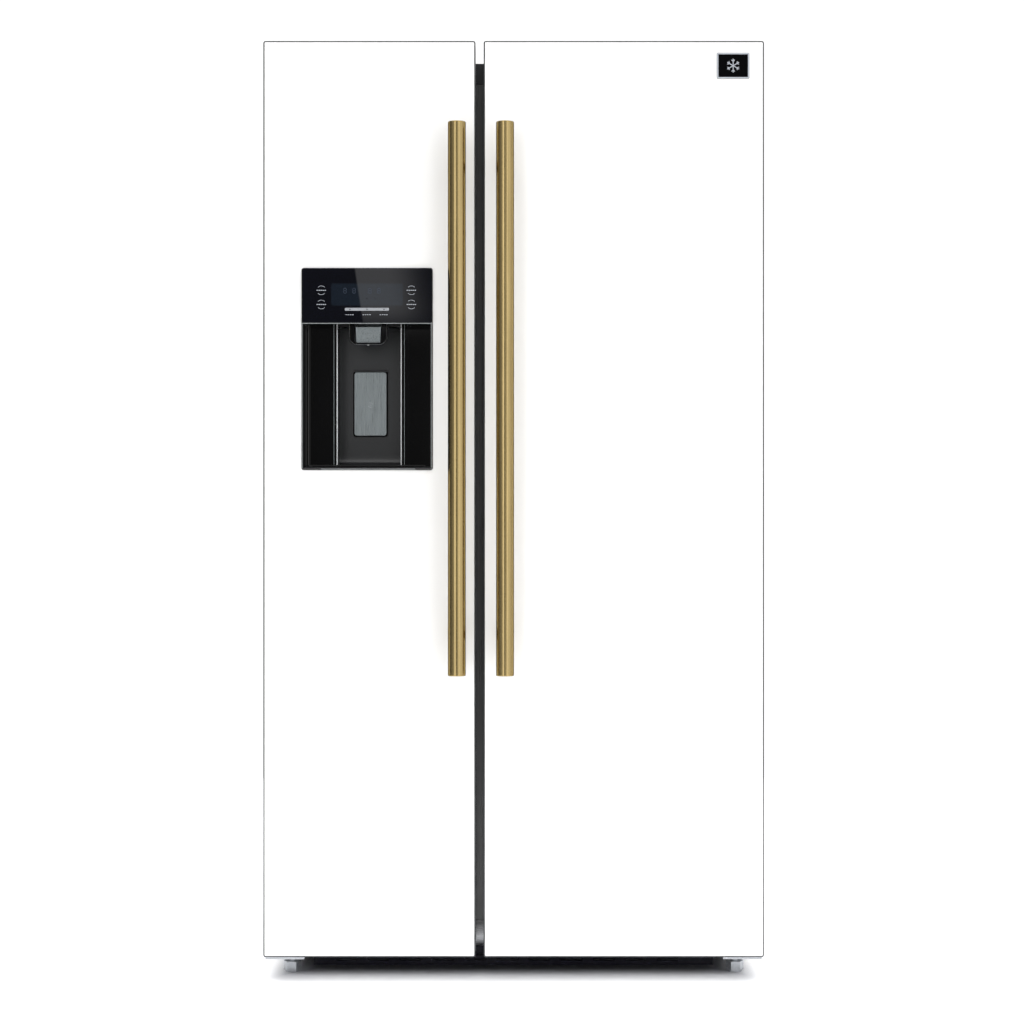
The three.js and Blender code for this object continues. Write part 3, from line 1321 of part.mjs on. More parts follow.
function addFridgeDoor() {
  const door = bodyAt(fridge, hingeX, hingeY, 0);
  place(door, "fridge_door_panel", doorPanel(fridgeDoor, -1, []), whiteGlass);
  place(door, "fridge_door_frame", doorFrame(fridgeDoor, -1, []), paintedSteel);
  place(door, "fridge_door_liner", fridgeDoorLiner(), whitePlastic);
  place(door, "fridge_door_gasket", gasket(fridgeDoor, -1), rubberSeal);
  place(door, "fridge_handle", handle(fridgeDoor, -1, FRIDGE_HANDLE_INSET), brass);
  place(bodyAt(door, 0, 0, upperBinZ), "dairy_bin", dairyBin(), clearPlastic);
  const flap = bodyAt(door, -(dairyNear + dairyFar) / 2, dairyPivotQ, dairyPivotZ);
  place(flap, "dairy_cover", dairyCover(), clearPlastic);
  const lower = bodyAt(door, 0, 0, FRIDGE_LOWER_BIN);
  place(lower, "fridge_bin_lower", doorBin(fridgeDoor, -1, BIN_HEIGHT), clearPlastic);
}

addCabinet();
addMachines();
addFreezerDoor();
addFridgeDoor();

export default fridge;
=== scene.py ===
"""A side by side refrigerator with white glass doors, antique brass bar handles and an ice and water
dispenser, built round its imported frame. Metres, +Z up, the doors face -Y."""
import json
import math
from types import SimpleNamespace

import bmesh
import bpy
import numpy as np
from bpy.props import FloatProperty, FloatVectorProperty, PointerProperty
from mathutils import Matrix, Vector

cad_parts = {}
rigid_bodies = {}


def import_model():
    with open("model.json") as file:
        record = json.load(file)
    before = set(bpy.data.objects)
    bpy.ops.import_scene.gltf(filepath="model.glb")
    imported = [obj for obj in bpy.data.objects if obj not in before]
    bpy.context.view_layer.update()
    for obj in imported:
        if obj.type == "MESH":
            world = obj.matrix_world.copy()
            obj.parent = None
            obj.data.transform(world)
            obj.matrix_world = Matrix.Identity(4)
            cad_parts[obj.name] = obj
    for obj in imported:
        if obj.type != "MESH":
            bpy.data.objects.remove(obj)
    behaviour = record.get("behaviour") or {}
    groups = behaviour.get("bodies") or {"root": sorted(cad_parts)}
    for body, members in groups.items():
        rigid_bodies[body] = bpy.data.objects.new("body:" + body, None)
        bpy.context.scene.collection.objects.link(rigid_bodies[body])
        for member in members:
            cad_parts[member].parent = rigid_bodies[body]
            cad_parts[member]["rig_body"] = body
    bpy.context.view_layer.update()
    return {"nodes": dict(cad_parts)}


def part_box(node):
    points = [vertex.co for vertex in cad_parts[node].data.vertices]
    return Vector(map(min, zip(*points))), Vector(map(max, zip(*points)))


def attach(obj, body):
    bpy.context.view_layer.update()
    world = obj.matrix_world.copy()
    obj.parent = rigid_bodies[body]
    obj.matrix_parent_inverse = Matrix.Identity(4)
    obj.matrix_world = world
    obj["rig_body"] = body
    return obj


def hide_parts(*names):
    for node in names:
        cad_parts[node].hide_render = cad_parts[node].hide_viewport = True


bl_info = {
    "name": "Side by Side Refrigerator",
    "version": (1, 0, 0),
    "blender": (4, 5, 0),
    "location": "View3D > Sidebar > Refrigerator",
    "description": "Makes the visible pieces of a side by side refrigerator round its frame",
    "category": "Add Mesh",
}

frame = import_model()
NODES = frame["nodes"]

LEFT, RIGHT = "freezer_door", "fridge_door"  # the two door bodies
QUARTER = math.pi / 2
# Heights above the floor, in metres, of what the frame doesn't hold.
EXTRA_BINS = {LEFT: ("freezer_bin_lower", (0.240,)), RIGHT: ("fridge_bin_lower", (0.640, 1.040))}
CHANNEL_FOOT = 0.60
FRIDGE_SLOTS = (0.70, 0.97, 1.24, 1.52)
FREEZER_SLOTS = (0.62, 0.88, 1.05)
BACK_RIDGES = ((0.36, 0.76), (0.82, 1.20), (1.26, 1.62))
AXES = {"x": (1, 2, 0), "y": (0, 2, 1), "z": (0, 1, 2)}  # plane's two axes, then the depth's


def low_high(node):
    """A node's two corners as arrays."""
    low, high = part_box(node)
    return np.array(low), np.array(high)


# ---------------------------------------------------------------- colours and nodes


def linear(colour):
    """sRGB hex to linear: a straight line below 0.04045, a power of 2.4 above it."""
    parts = np.array([int(colour[i : i + 2], 16) for i in (1, 3, 5)]) / 255
    return tuple(np.where(parts <= 0.04045, parts / 12.92, ((parts + 0.055) / 1.055) ** 2.4).tolist())


def add(tree, kind, sockets=None, **settings):
    """Adds a node with its settings; a socket's value is a number, a colour or another node's output."""
    node = tree.nodes.new(kind)
    for name, value in settings.items():
        setattr(node, name, value)
    for name, value in (sockets or {}).items():
        if isinstance(value, bpy.types.NodeSocket):
            tree.links.new(value, node.inputs[name])
        else:
            node.inputs[name].default_value = value
    return node


def material(name, colour, sockets):
    """A new material with one principled shader; returns it with its tree and shader."""
    made = bpy.data.materials.new(name)
    made.use_nodes = True
    tree = made.node_tree
    tree.nodes.clear()
    shader = add(tree, "ShaderNodeBsdfPrincipled", {"Base Color": (*colour, 1), **sockets})
    add(tree, "ShaderNodeOutputMaterial", {"Surface": shader.outputs["BSDF"]})
    return made, tree, shader


def noise(tree, scale, detail=2.0, rough=0.5):
    """Noise over the piece; scale is in cycles per metre along x, y and z."""
    place = add(tree, "ShaderNodeTexCoord").outputs["Object"]
    stretched = add(tree, "ShaderNodeMapping", {"Vector": place, "Scale": scale}).outputs["Vector"]
    sockets = {"Vector": stretched, "Scale": 1.0, "Detail": detail, "Roughness": rough}
    return add(tree, "ShaderNodeTexNoise", sockets).outputs["Fac"]


def ramp(tree, factor, low, high, smooth=False):
    """The factor's middle half spread from low to high."""
    kind = "SMOOTHSTEP" if smooth else "LINEAR"
    sockets = {"Value": factor, "From Min": 0.3, "From Max": 0.7, "To Min": low, "To Max": high}
    return add(tree, "ShaderNodeMapRange", sockets, interpolation_type=kind).outputs["Result"]


def tint(tree, shader, factor, low, high):
    """Base colour from low to high by the factor; 6 and 7 are the mix node's two colour sockets."""
    mixed = add(tree, "ShaderNodeMix", {0: factor, 6: (*low, 1), 7: (*high, 1)}, data_type="RGBA")
    tree.links.new(mixed.outputs[2], shader.inputs["Base Color"])


def relief(tree, shader, height, distance, strength=1.0):
    """Bump of that height, distance in metres from trough to crest."""
    sockets = {"Height": height, "Distance": distance, "Strength": strength}
    bump = add(tree, "ShaderNodeBump", sockets)
    tree.links.new(bump.outputs["Normal"], shader.inputs["Normal"])


def shade(colour, factor):
    """A colour made darker or lighter."""
    return tuple(min(1.0, c * factor) for c in colour)


# ---------------------------------------------------------------- finishes


def painted_glass(colours):
    """Tempered glass painted white on its back: a deep gloss over flat white, with the faint waves that
    the tempering rollers leave about every 90 mm."""
    sockets = {"Roughness": 0.12, "Coat Weight": 0.6, "Coat Roughness": 0.02, "Coat IOR": 1.52}
    made, tree, shader = material("back_painted_tempered_glass", colours.glass, sockets)
    relief(tree, shader, noise(tree, (11, 11, 11), 1.0), 0.00006)
    return made


def powder_coat(colours):
    """Powder-coated sheet steel: satin white with the orange peel of the baked powder, 1.6 mm apart."""
    made, tree, shader = material("powder_coated_steel", colours.steel, {"Roughness": 0.38})
    grain = noise(tree, (620, 620, 620), 1.0)
    relief(tree, shader, grain, 0.00009, 0.5)
    tint(tree, shader, noise(tree, (4, 4, 3), 2.0), shade(colours.steel, 0.97), colours.steel)
    return made


def anodised_edge(colours):
    """Drawn aluminium, anodised dark grey: the thin line round each door, bright where it faces the light."""
    sockets = {"Metallic": 1.0, "Roughness": 0.32}
    made, tree, shader = material("dark_anodised_aluminium", colours.edge, sockets)
    lines = noise(tree, (900, 900, 14), 2.0)
    tint(tree, shader, ramp(tree, lines, 0, 1), shade(colours.edge, 0.85), shade(colours.edge, 1.1))
    tree.links.new(ramp(tree, lines, 0.24, 0.4), shader.inputs["Roughness"])
    return made


def dark_sheet():
    """Black-nickel coated sheet: a dark metal with fine rolling lines that dulls what it reflects."""
    sockets = {"Metallic": 0.9, "Roughness": 0.3}
    made, tree, shader = material("dark_coated_sheet", linear("#5e5e5e"), sockets)
    lines = noise(tree, (700, 700, 9), 2.0)
    tree.links.new(ramp(tree, lines, 0.26, 0.36), shader.inputs["Roughness"])
    tint(tree, shader, ramp(tree, lines, 0, 1), linear("#505050"), linear("#585858"))
    return made


def rolled_beam():
    """The same dark sheet on the beam below the doors, painted lighter towards its lower edge as a reflection
    of the white floor.
    """
    sockets = {"Metallic": 0.9, "Roughness": 0.25}
    made, tree, shader = material("coated_sheet_painted_reflection", linear("#616161"), sockets)
    place = add(tree, "ShaderNodeTexCoord").outputs["Object"]
    height = add(tree, "ShaderNodeSeparateXYZ", {"Vector": place}).outputs["Z"]
    sockets = {"Value": height, "From Min": 0.098, "From Max": 0.052, "To Min": 0.0, "To Max": 1.0}
    # Painted reflection of the white floor: the base colour lightens from 98 mm down to 52 mm above the
    # floor.
    painted_reflection = add(tree, "ShaderNodeMapRange", sockets, interpolation_type="SMOOTHSTEP").outputs["Result"]
    tint(tree, shader, painted_reflection, linear("#4c4c4c"), linear("#b4b5b7"))
    tree.links.new(ramp(tree, noise(tree, (9, 700, 700), 2.0), 0.22, 0.3), shader.inputs["Roughness"])
    return made


def moulded(name, colour, rough, grain=0.0008, depth=0.00005):
    """Injection-moulded plastic with the mould's spark-eroded grain, and a little unevenness of gloss."""
    made, tree, shader = material(name, colour, {"Roughness": rough, "IOR": 1.53})
    relief(tree, shader, noise(tree, (1 / grain,) * 3, 1.5), depth, 0.6)
    uneven = noise(tree, (5, 5, 5), 1.0)
    tree.links.new(ramp(tree, uneven, rough * 0.95, min(1, rough * 1.06), True), shader.inputs["Roughness"])
    tint(tree, shader, uneven, shade(colour, 0.975), colour)
    return made


def clear_moulded(colours):
    """Crystal polystyrene: clear and glossy with a cool cast and the faint flow waves of moulding."""
    sockets = {"Roughness": 0.04, "IOR": 1.45, "Transmission Weight": 0.96}
    made, tree, shader = material("crystal_polystyrene", colours.clear, sockets)
    flow = noise(tree, (9, 9, 20), 1.0)
    relief(tree, shader, flow, 0.0003, 0.25)
    tree.links.new(ramp(tree, flow, 0.02, 0.06, True), shader.inputs["Roughness"])
    return made


def float_glass():
    """Float glass shelf: clear, faintly green, with fine dust that shows in its gloss."""
    sockets = {"Roughness": 0.02, "IOR": 1.52, "Transmission Weight": 0.92}
    made, tree, shader = material("toughened_float_glass", linear("#eff8f4"), sockets)
    tree.links.new(ramp(tree, noise(tree, (60, 60, 60), 3.0), 0.01, 0.07), shader.inputs["Roughness"])
    return made


def soft_seal(colours):
    """Extruded magnetic PVC seal: soft matt grey with a fine bloom on it."""
    made, tree, shader = material("extruded_pvc_seal", colours.seal, {"Roughness": 0.62})
    bloom = noise(tree, (90, 90, 90), 4.0)
    tint(tree, shader, bloom, shade(colours.seal, 0.9), shade(colours.seal, 1.08))
    relief(tree, shader, noise(tree, (1500, 1500, 1500), 1.0), 0.00005, 0.5)
    return made


def blown_foam():
    """Blown polyurethane foam: straw-coloured, open cells 1.2 mm across where it was cut."""
    made, tree, shader = material("blown_polyurethane_foam", linear("#e6d9ab"), {"Roughness": 0.85})
    place = add(tree, "ShaderNodeTexCoord").outputs["Object"]
    cells = add(tree, "ShaderNodeTexVoronoi", {"Vector": place, "Scale": 830.0}).outputs["Distance"]
    relief(tree, shader, cells, 0.0004)
    tint(tree, shader, noise(tree, (40, 40, 40), 3.0), linear("#d6c48c"), linear("#efe4bd"))
    return made


def zinc_plate(colours):
    """Zinc-plated pressed steel: pale metal clouded by its crystal spangle, 5 mm across."""
    made, tree, shader = material("zinc_plated_steel", colours.zinc, {"Metallic": 0.85, "Roughness": 0.38})
    place = add(tree, "ShaderNodeTexCoord").outputs["Object"]
    spangle = add(tree, "ShaderNodeTexVoronoi", {"Vector": place, "Scale": 200.0}).outputs["Color"]
    value = add(tree, "ShaderNodeSeparateColor", {"Color": spangle}).outputs["Red"]
    tint(tree, shader, value, shade(colours.zinc, 0.86), shade(colours.zinc, 1.06))
    tree.links.new(ramp(tree, value, 0.3, 0.46), shader.inputs["Roughness"])
    return made


def mill_aluminium():
    """Mill-finish aluminium fins and pipes: bright, soft lines from the rolls, and a little frost bloom."""
    sockets = {"Metallic": 1.0, "Roughness": 0.35}
    made, tree, shader = material("mill_finish_aluminium", linear("#c4c8cb"), sockets)
    bloom = noise(tree, (35, 35, 200), 4.0)
    tree.links.new(ramp(tree, bloom, 0.26, 0.5), shader.inputs["Roughness"])
    tint(tree, shader, bloom, linear("#a9adb0"), linear("#d3d6d8"))
    return made


def brushed_brass(colours):
    """Antique brass tube, brushed along its length and lacquered: fine streaks 0.35 mm apart that run
    with the bar, olive-brown in the hollows and pale gold on the worn crests; a near-black edge tint
    paints shade on its rims."""
    # Near-black edge tint: painted shade that darkens the bar's rims.
    sockets = {"Metallic": 1.0, "Roughness": 0.25, "Specular Tint": (*shade(colours.brass, 0.05), 1)}
    made, tree, shader = material("brushed_antique_brass", colours.brass, sockets)
    streaks = noise(tree, (2800, 2800, 16), 2.0, 0.6)
    patina = noise(tree, (130, 130, 5), 3.0)
    both = add(tree, "ShaderNodeMath", {0: streaks, 1: patina, 2: 0.25}, operation="MULTIPLY_ADD").outputs[0]
    tint(tree, shader, ramp(tree, both, 0, 1), shade(colours.brass, 0.8), shade(colours.brass, 1.16))
    tree.links.new(ramp(tree, streaks, 0.15, 0.24), shader.inputs["Roughness"])
    relief(tree, shader, streaks, 0.00002, 0.5)
    return made


def gloss_black(name, colour, rough=0.045, ior=1.46):
    """High-gloss black ABS: a piano finish, very dark, that mirrors the room with a faint polish haze."""
    made, tree, shader = material(name, colour, {"Roughness": rough, "IOR": ior})
    haze = noise(tree, (12, 12, 12), 2.0)
    tree.links.new(ramp(tree, haze, rough * 0.45, rough, True), shader.inputs["Roughness"])
    tint(tree, shader, haze, shade(colour, 0.85), shade(colour, 1.15))
    return made


def brushed_steel(name, colour, contrast=0.18):
    """Stainless steel brushed upright: cool grey with fine lines 0.3 mm apart."""
    grey = linear(colour)
    made, tree, shader = material(name, grey, {"Metallic": 1.0, "Roughness": 0.3})
    lines = noise(tree, (3000, 3000, 25), 2.0, 0.6)
    tint(tree, shader, ramp(tree, lines, 0, 1), shade(grey, 1 - contrast), shade(grey, 1 + contrast))
    tree.links.new(ramp(tree, lines, 0.24, 0.38), shader.inputs["Roughness"])
    relief(tree, shader, lines, 0.00003, 0.5)
    return made


def ink(name, colour, glow):
    """Printed ink given a faint painted glow, or a lit mark behind the glass: flat, and a little brighter
    than its surroundings.
    """
    base = linear(colour)
    sockets = {"Roughness": 0.3, "Emission Color": (*base, 1), "Emission Strength": glow}
    made, tree, shader = material(name, base, sockets)
    tint(tree, shader, noise(tree, (900, 900, 900), 1.0), shade(base, 0.9), base)
    return made


def make_finishes(colours):
    """Every finish by its slot, and the extra ones that new pieces use."""
    return {
        "white_glass": painted_glass(colours),
        "painted_steel": powder_coat(colours),
        "door_edge": anodised_edge(colours),
        "dark_steel": dark_sheet(),
        "black_plastic": moulded("grained_black_abs", linear("#1b1b1d"), 0.42),
        "white_plastic": moulded("vacuum_formed_white_hips", colours.liner, 0.3, 0.0025, 0.00006),
        "clear_plastic": clear_moulded(colours),
        "shelf_glass": float_glass(),
        "seal_rubber": soft_seal(colours),
        "insulating_foam": blown_foam(),
        "zinc_steel": zinc_plate(colours),
        "bare_aluminium": mill_aluminium(),
        "antique_brass": brushed_brass(colours),
        "black_gloss": gloss_black("high_gloss_black_abs", colours.black),
        "satin_metal": brushed_steel("brushed_stainless_steel", "#a3a7a8"),
        "black_enamel": moulded("stoved_black_enamel", linear("#141416"), 0.28, 0.002, 0.00004),
        "tyre_rubber": moulded("moulded_grey_nylon", linear("#4a4b4d"), 0.5),
        "panel_glass": gloss_black("black_printed_glass", colours.panel, 0.008),
        "recess_black": gloss_black("polished_black_recess", linear("#050506")),
        "channel_plastic": moulded("satin_black_abs", linear("#15171a"), 0.36, 0.0012, 0.00004),
        # Black toe plate, given the navy tone of the shade under the cabinet as painted shade.
        "toe_black": gloss_black("black_toe_plate_with_navy_painted_shade", linear("#0a0914"), 0.6, 1.2),
        "badge_black": gloss_black("black_enamelled_badge", linear("#020203"), 0.1, 1.15),
        "paddle_metal": brushed_steel("satin_anodised_paddle", "#8d9496", 0.07),
        "beam_metal": rolled_beam(),
        "bead_metal": brushed_steel("bright_plated_bead", "#e6e8ea"),
        # These three inks glow faintly though no lamp lights them: a painted glow.
        "light_ink": ink("pale_printed_ink", "#b4b9c0", 0.12),
        "silver_ink": ink("silver_printed_ink", "#9a9da2", 0.05),
        "dim_ink": ink("unlit_display_digits_painted_glow", "#2c3646", 0.05),
        "window": gloss_black("smoked_display_window", linear("#121922"), 0.012),
        "lamp": ink("frosted_lamp_cover", "#f4f7fb", 0.9),
    }


# ---------------------------------------------------------------- surfaces


def outline(low, high, radius, steps=5):
    """A rounded rectangle: four quarter turns of the radius round the inset corners. Returns its points
    and their outward unit normals, both n by 2."""
    low, high = np.asarray(low, float), np.asarray(high, float)
    turn = (np.arange(4)[:, None] * QUARTER + np.linspace(0, QUARTER, steps + 1)[None]).ravel()
    normals = np.stack([np.cos(turn), np.sin(turn)], 1)
    corner = np.repeat([[1, 1], [0, 1], [0, 0], [1, 0]], steps + 1, 0)
    centres = np.where(corner == 1, high - radius, low + radius)
    return centres + normals * radius, normals


def carry(profile, points, normals, along="y"):
    """A profile of (out, depth) carried round an outline: row k is the outline pushed out by its first
    value and set at its second, the depth along the named axis."""
    profile = np.asarray(profile, float)
    flat = points[None] + normals[None] * profile[:, 0][:, None, None]
    rows = np.empty(flat.shape[:2] + (3,))
    first, second, depth = AXES[along]
    rows[..., first] = flat[..., 0]
    rows[..., second] = flat[..., 1]
    rows[..., depth] = profile[:, 1][:, None]
    return rows


def surface(rows, wrap=True, ends="caps"):
    """Faces between a grid's rows. wrap joins the last column to the first; ends is caps for a flat face
    on the first and the last row, or closed to join them."""
    rows = np.asarray(rows, float)
    count, across = rows.shape[:2]
    index = np.arange(count * across).reshape(count, across)
    caps = [index[0][::-1].tolist(), index[-1].tolist()] if ends == "caps" else []
    if ends == "closed":
        index = np.concatenate([index, index[:1]])
    if wrap:
        index = np.concatenate([index, index[:, :1]], 1)
    quads = np.stack([index[:-1, :-1], index[:-1, 1:], index[1:, 1:], index[1:, :-1]], -1)
    return rows.reshape(-1, 3), quads.reshape(-1, 4), caps


def rounded_ends(low, high, fillet, steps=3):
    """Profile of a plate's edge from its near face to its far one: a quarter turn of the fillet at each."""
    turn = np.linspace(0, QUARTER, steps + 1)
    near = np.stack([fillet * (np.sin(turn) - 1), low + fillet * (1 - np.cos(turn))], 1)
    far = np.stack([near[::-1, 0], high + low - near[::-1, 1]], 1)
    return np.concatenate([near, far])


def plate(low, high, corner, fillet, along="y", steps=5):
    """A plate between two corners, its outline rounded at its corners and its edges filleted."""
    low, high = np.asarray(low, float), np.asarray(high, float)
    first, second, depth = AXES[along]
    corner = min(corner, 0.49 * min(high[first] - low[first], high[second] - low[second]))
    fillet = min(fillet, 0.45 * (high[depth] - low[depth]), corner)
    shape = outline(low[[first, second]], high[[first, second]], corner, steps)
    return surface(carry(rounded_ends(low[depth], high[depth], fillet), *shape, along))


def rim(low, high, corner, profile, along="y", steps=5):
    """A closed profile of (out, depth) carried round a rounded rectangle, as a frame, bead or seal."""
    shape = outline(low, high, corner, steps)
    return surface(carry(profile, *shape, along), ends="closed")


def holed_plate(low, high, corner, hole_low, hole_high, hole_corner, near, far, fillet):
    """A plate with one opening, both rounded rectangles of the same number of points: rows run from the
    outer edge's far face over the near face and down the opening's edge."""
    outer = carry(rounded_ends(near, far, fillet)[::-1], *outline(low, high, corner))
    points, normals = outline(hole_low, hole_high, hole_corner)
    inner = carry([(0.0, near), (0.0, far)], points, normals)
    return surface(np.concatenate([outer, inner]), ends="closed")


def revolve(profile, centre, along="z", sides=40):
    """A profile of (radius, height) turned round an axis through centre."""
    profile = np.asarray(profile, float)
    turn = np.linspace(0, 2 * math.pi, sides, endpoint=False)
    rows = np.empty((len(profile), sides, 3))
    first, second, depth = AXES[along]
    rows[..., first] = profile[:, :1] * np.cos(turn)
    rows[..., second] = profile[:, :1] * np.sin(turn)
    rows[..., depth] = profile[:, 1][:, None]
    return surface(rows + np.asarray(centre, float))


def tube(path, radius, sides=10, level=(0, 0, 1)):
    """A circle carried along a path; level is a direction that the path never runs along, and each circle
    is spanned by the two unit vectors square to the path's own direction."""
    path = np.asarray(path, float)
    ahead = np.gradient(path, axis=0)
    ahead /= np.linalg.norm(ahead, axis=1, keepdims=True)
    side = np.cross(ahead, np.asarray(level, float))
    side /= np.linalg.norm(side, axis=1, keepdims=True)
    up = np.cross(side, ahead)
    turn = np.linspace(0, 2 * math.pi, sides, endpoint=False)
    ring = side[:, None] * np.cos(turn)[None, :, None] + up[:, None] * np.sin(turn)[None, :, None]
    return surface(path[:, None] + radius * ring)


def bar(low, high, out=0.0004, along="y"):
    """A plain bar with slightly rounded edges."""
    return plate(low, high, out * 1.01, out, along, 2)


def build(name, parts, body, slot, finish=None, replaces=(), angle=38):
    """Joins surfaces into one piece, turns its faces outwards and shades it smooth up to the angle."""
    starts = np.cumsum([0] + [len(points) for points, _, _ in parts])
    faces = []
    for (_, quads, caps), start in zip(parts, starts):
        faces += (quads + start).tolist() + [[i + int(start) for i in cap] for cap in caps]
    mesh = bpy.data.meshes.new(name)
    mesh.from_pydata(np.concatenate([points for points, _, _ in parts]).tolist(), [], faces)
    work = bmesh.new()
    work.from_mesh(mesh)
    bmesh.ops.recalc_face_normals(work, faces=work.faces)
    work.to_mesh(mesh)
    work.free()
    return settle(name, mesh, body, slot, finish, replaces, angle)


def settle(name, mesh, body, slot, finish, replaces, angle):
    """Puts a finished mesh in the scene, with its finish, and fixes it to its body."""
    obj = bpy.data.objects.new(name, mesh)
    bpy.context.scene.collection.objects.link(obj)
    mesh.shade_smooth()
    mesh.set_sharp_from_angle(angle=math.radians(angle))
    mesh.materials.append(FINISHES[finish or slot])
    even = obj.modifiers.new("even_shading", "WEIGHTED_NORMAL")
    even.keep_sharp = True
    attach(obj, body)
    if replaces:
        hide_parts(*replaces)
    return obj


def softened(node, radius, slot, finish=None, steps=2, angle=35):
    """A node's own shape with its doubled corners merged, its flat triangles joined and its edges
    rounded; it stands for the node."""
    mesh = bpy.data.meshes.new(node + "_soft")
    work = bmesh.new()
    work.from_mesh(NODES[node].data)
    bmesh.ops.remove_doubles(work, verts=work.verts, dist=2e-5)
    bmesh.ops.dissolve_limit(work, angle_limit=0.01, verts=work.verts, edges=work.edges)
    work.to_mesh(mesh)
    work.free()
    mesh.materials.clear()
    obj = bpy.data.objects.new(node + "_soft", mesh)
    bpy.context.scene.collection.objects.link(obj)
    mesh.shade_smooth()
    mesh.set_sharp_from_angle(angle=math.radians(angle))
    mesh.materials.append(FINISHES[finish or slot])
    round_over = obj.modifiers.new("rounded_edges", "BEVEL")
    round_over.width = radius
    round_over.segments = steps
    round_over.limit_method = "ANGLE"
    round_over.angle_limit = math.radians(angle)
    round_over.harden_normals = True
    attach(obj, NODES[node]["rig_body"])
    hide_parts(node)
    return obj


FINISHES = {}


# ---------------------------------------------------------------- doors


def door_front(sizes, body, panel, hole=None):
    """One door's glass front with polished edges, and the dark metal line that frames it."""
    low, high = low_high(panel)
    near, far = low[1], high[1]
    out = sizes.edge_line
    line = np.array([out, 0, out])
    if hole is None:
        glass = plate(low + line, high - line, sizes.door_corner, sizes.glass_edge)
    else:
        edges = (low + line)[[0, 2]], (high - line)[[0, 2]]
        glass = holed_plate(*edges, sizes.door_corner, *hole, near, far, sizes.glass_edge)
    build(body + "_glass", [glass], body, "white_glass", replaces=[panel])
    set_back = near + 0.0006
    section = [(-out * 0.9, far), (-out * 0.9, set_back), (-0.0003, set_back), (0, near + 0.0010), (0, far)]
    frame_line = rim(low[[0, 2]], high[[0, 2]], sizes.door_corner + out, section)
    build(body + "_edge_line", [frame_line], body, "door_edge")


def dispenser_hole():
    """The opening in the freezer's glass: the dispenser's outline drawn in by a hair, and its corners."""
    low, high = low_high("dispenser_housing")
    top = low_high("dispenser_panel")[1][2] + 0.001
    margin = 0.0002
    return low[[0, 2]] + margin, (high[0] - margin, top - margin), 0.004


def handle(sizes, body, node):
    """A round bar with softened ends on two posts, each with a collar where it meets the glass."""
    low, high = low_high(node)
    radius = (high[0] - low[0]) / 2
    centre = np.array([(low[0] + high[0]) / 2, low[1] + radius, 0])
    turn = np.linspace(0, QUARTER, 5)
    soft = sizes.handle_edge
    top = np.stack([radius - soft + soft * np.cos(turn), high[2] - soft + soft * np.sin(turn)], 1)
    bottom = np.stack([top[::-1, 0], low[2] + high[2] - top[::-1, 1]], 1)
    body_of_bar = np.linspace(low[2] + 2 * soft, high[2] - 2 * soft, 12)
    straight = np.stack([np.full_like(body_of_bar, radius), body_of_bar], 1)
    dish = [(radius * 0.82, high[2]), (radius * 0.80, high[2] - 0.0006), (0.001, high[2] - 0.0009)]
    parts = [revolve(np.concatenate([bottom, straight, top, dish]), centre, "z", 64)]
    wall = high[1]
    for height in (low[2] + sizes.post_inset, high[2] - sizes.post_inset):
        at = (centre[0], 0, height)
        post = [(sizes.post_radius, low[1] + radius), (sizes.post_radius, wall - 0.006)]
        collar = [(r, wall - 0.0002 - h) for r, h in ((0.0125, 0.0048), (0.0132, 0.0040), (0.0132, 0))]
        parts += [revolve(post, at, "y", 32), revolve([(0.0078, wall - 0.0052)] + collar, at, "y", 32)]
    build(node + "_bar", parts, body, "antique_brass", replaces=[node])


def gasket(body, node):
    """A magnetic seal: a foot in the liner's groove, two bellows folds and the flat magnet pocket that
    meets the cabinet."""
    low, high = low_high(node)
    near, far = low[1], high[1]
    deep = far - near
    section = [
        (0, near), (0, near + 0.16 * deep), (-0.003, near + 0.26 * deep), (-0.0004, near + 0.42 * deep),
        (-0.0028, near + 0.54 * deep), (0, near + 0.66 * deep), (0, far - 0.0006), (-0.0008, far),
        (-0.0142, far), (-0.0152, far - 0.0006), (-0.0152, near + 0.66 * deep),
        (-0.0118, near + 0.54 * deep), (-0.0148, near + 0.42 * deep), (-0.012, near + 0.26 * deep),
        (-0.0156, near + 0.16 * deep), (-0.0156, near),
    ]
    seal = rim(low[[0, 2]], high[[0, 2]], 0.004, section)
    build(node + "_bellows", [seal], body, "seal_rubber", replaces=[node])


# ---------------------------------------------------------------- dispenser


def recess(sizes):
    """The dispenser's own lines, from the housing, the panel above it and the door: its edges, its middle,
    its front, the foot of the channel, the recess's ceiling, and how deep the channel and the wings
    beside it go."""
    low, high = low_high("dispenser_housing")
    panel_low, panel_high = low_high("dispenser_panel")
    opening = low_high("freezer_door_panel")[0][1]
    return SimpleNamespace(
        x0=low[0],
        x1=high[0],
        z0=low[2],
        z1=panel_high[2] + 0.001,
        middle=(low[0] + high[0]) / 2,
        face=low[1],
        panel_face=panel_low[1],
        opening=opening,
        foot=low[2] + 0.007,
        ceiling=panel_low[2] - 0.001,
        back=opening + sizes.recess_depth - 0.0004,
        wing=opening + sizes.wing_depth - 0.0006,
        half=sizes.channel_half - 0.0006,
    )


def dispenser_rim(sizes):
    """The gloss rim round the whole dispenser: from the door's glass over the rounded front edge and back
    along its inside."""
    r = recess(sizes)
    thick = sizes.bezel
    section = [
        (0, r.opening + 0.001), (0, r.face + 0.0012), (-0.0006, r.face), (-thick + 0.0012, r.face - 0.0012),
        (-thick, r.face + 0.0008), (-thick, r.opening + 0.010), (-thick + 0.002, r.opening + 0.010),
    ]
    build("dispenser_rim", [rim((r.x0, r.z0), (r.x1, r.z1), 0.0045, section)], LEFT, "black_gloss")


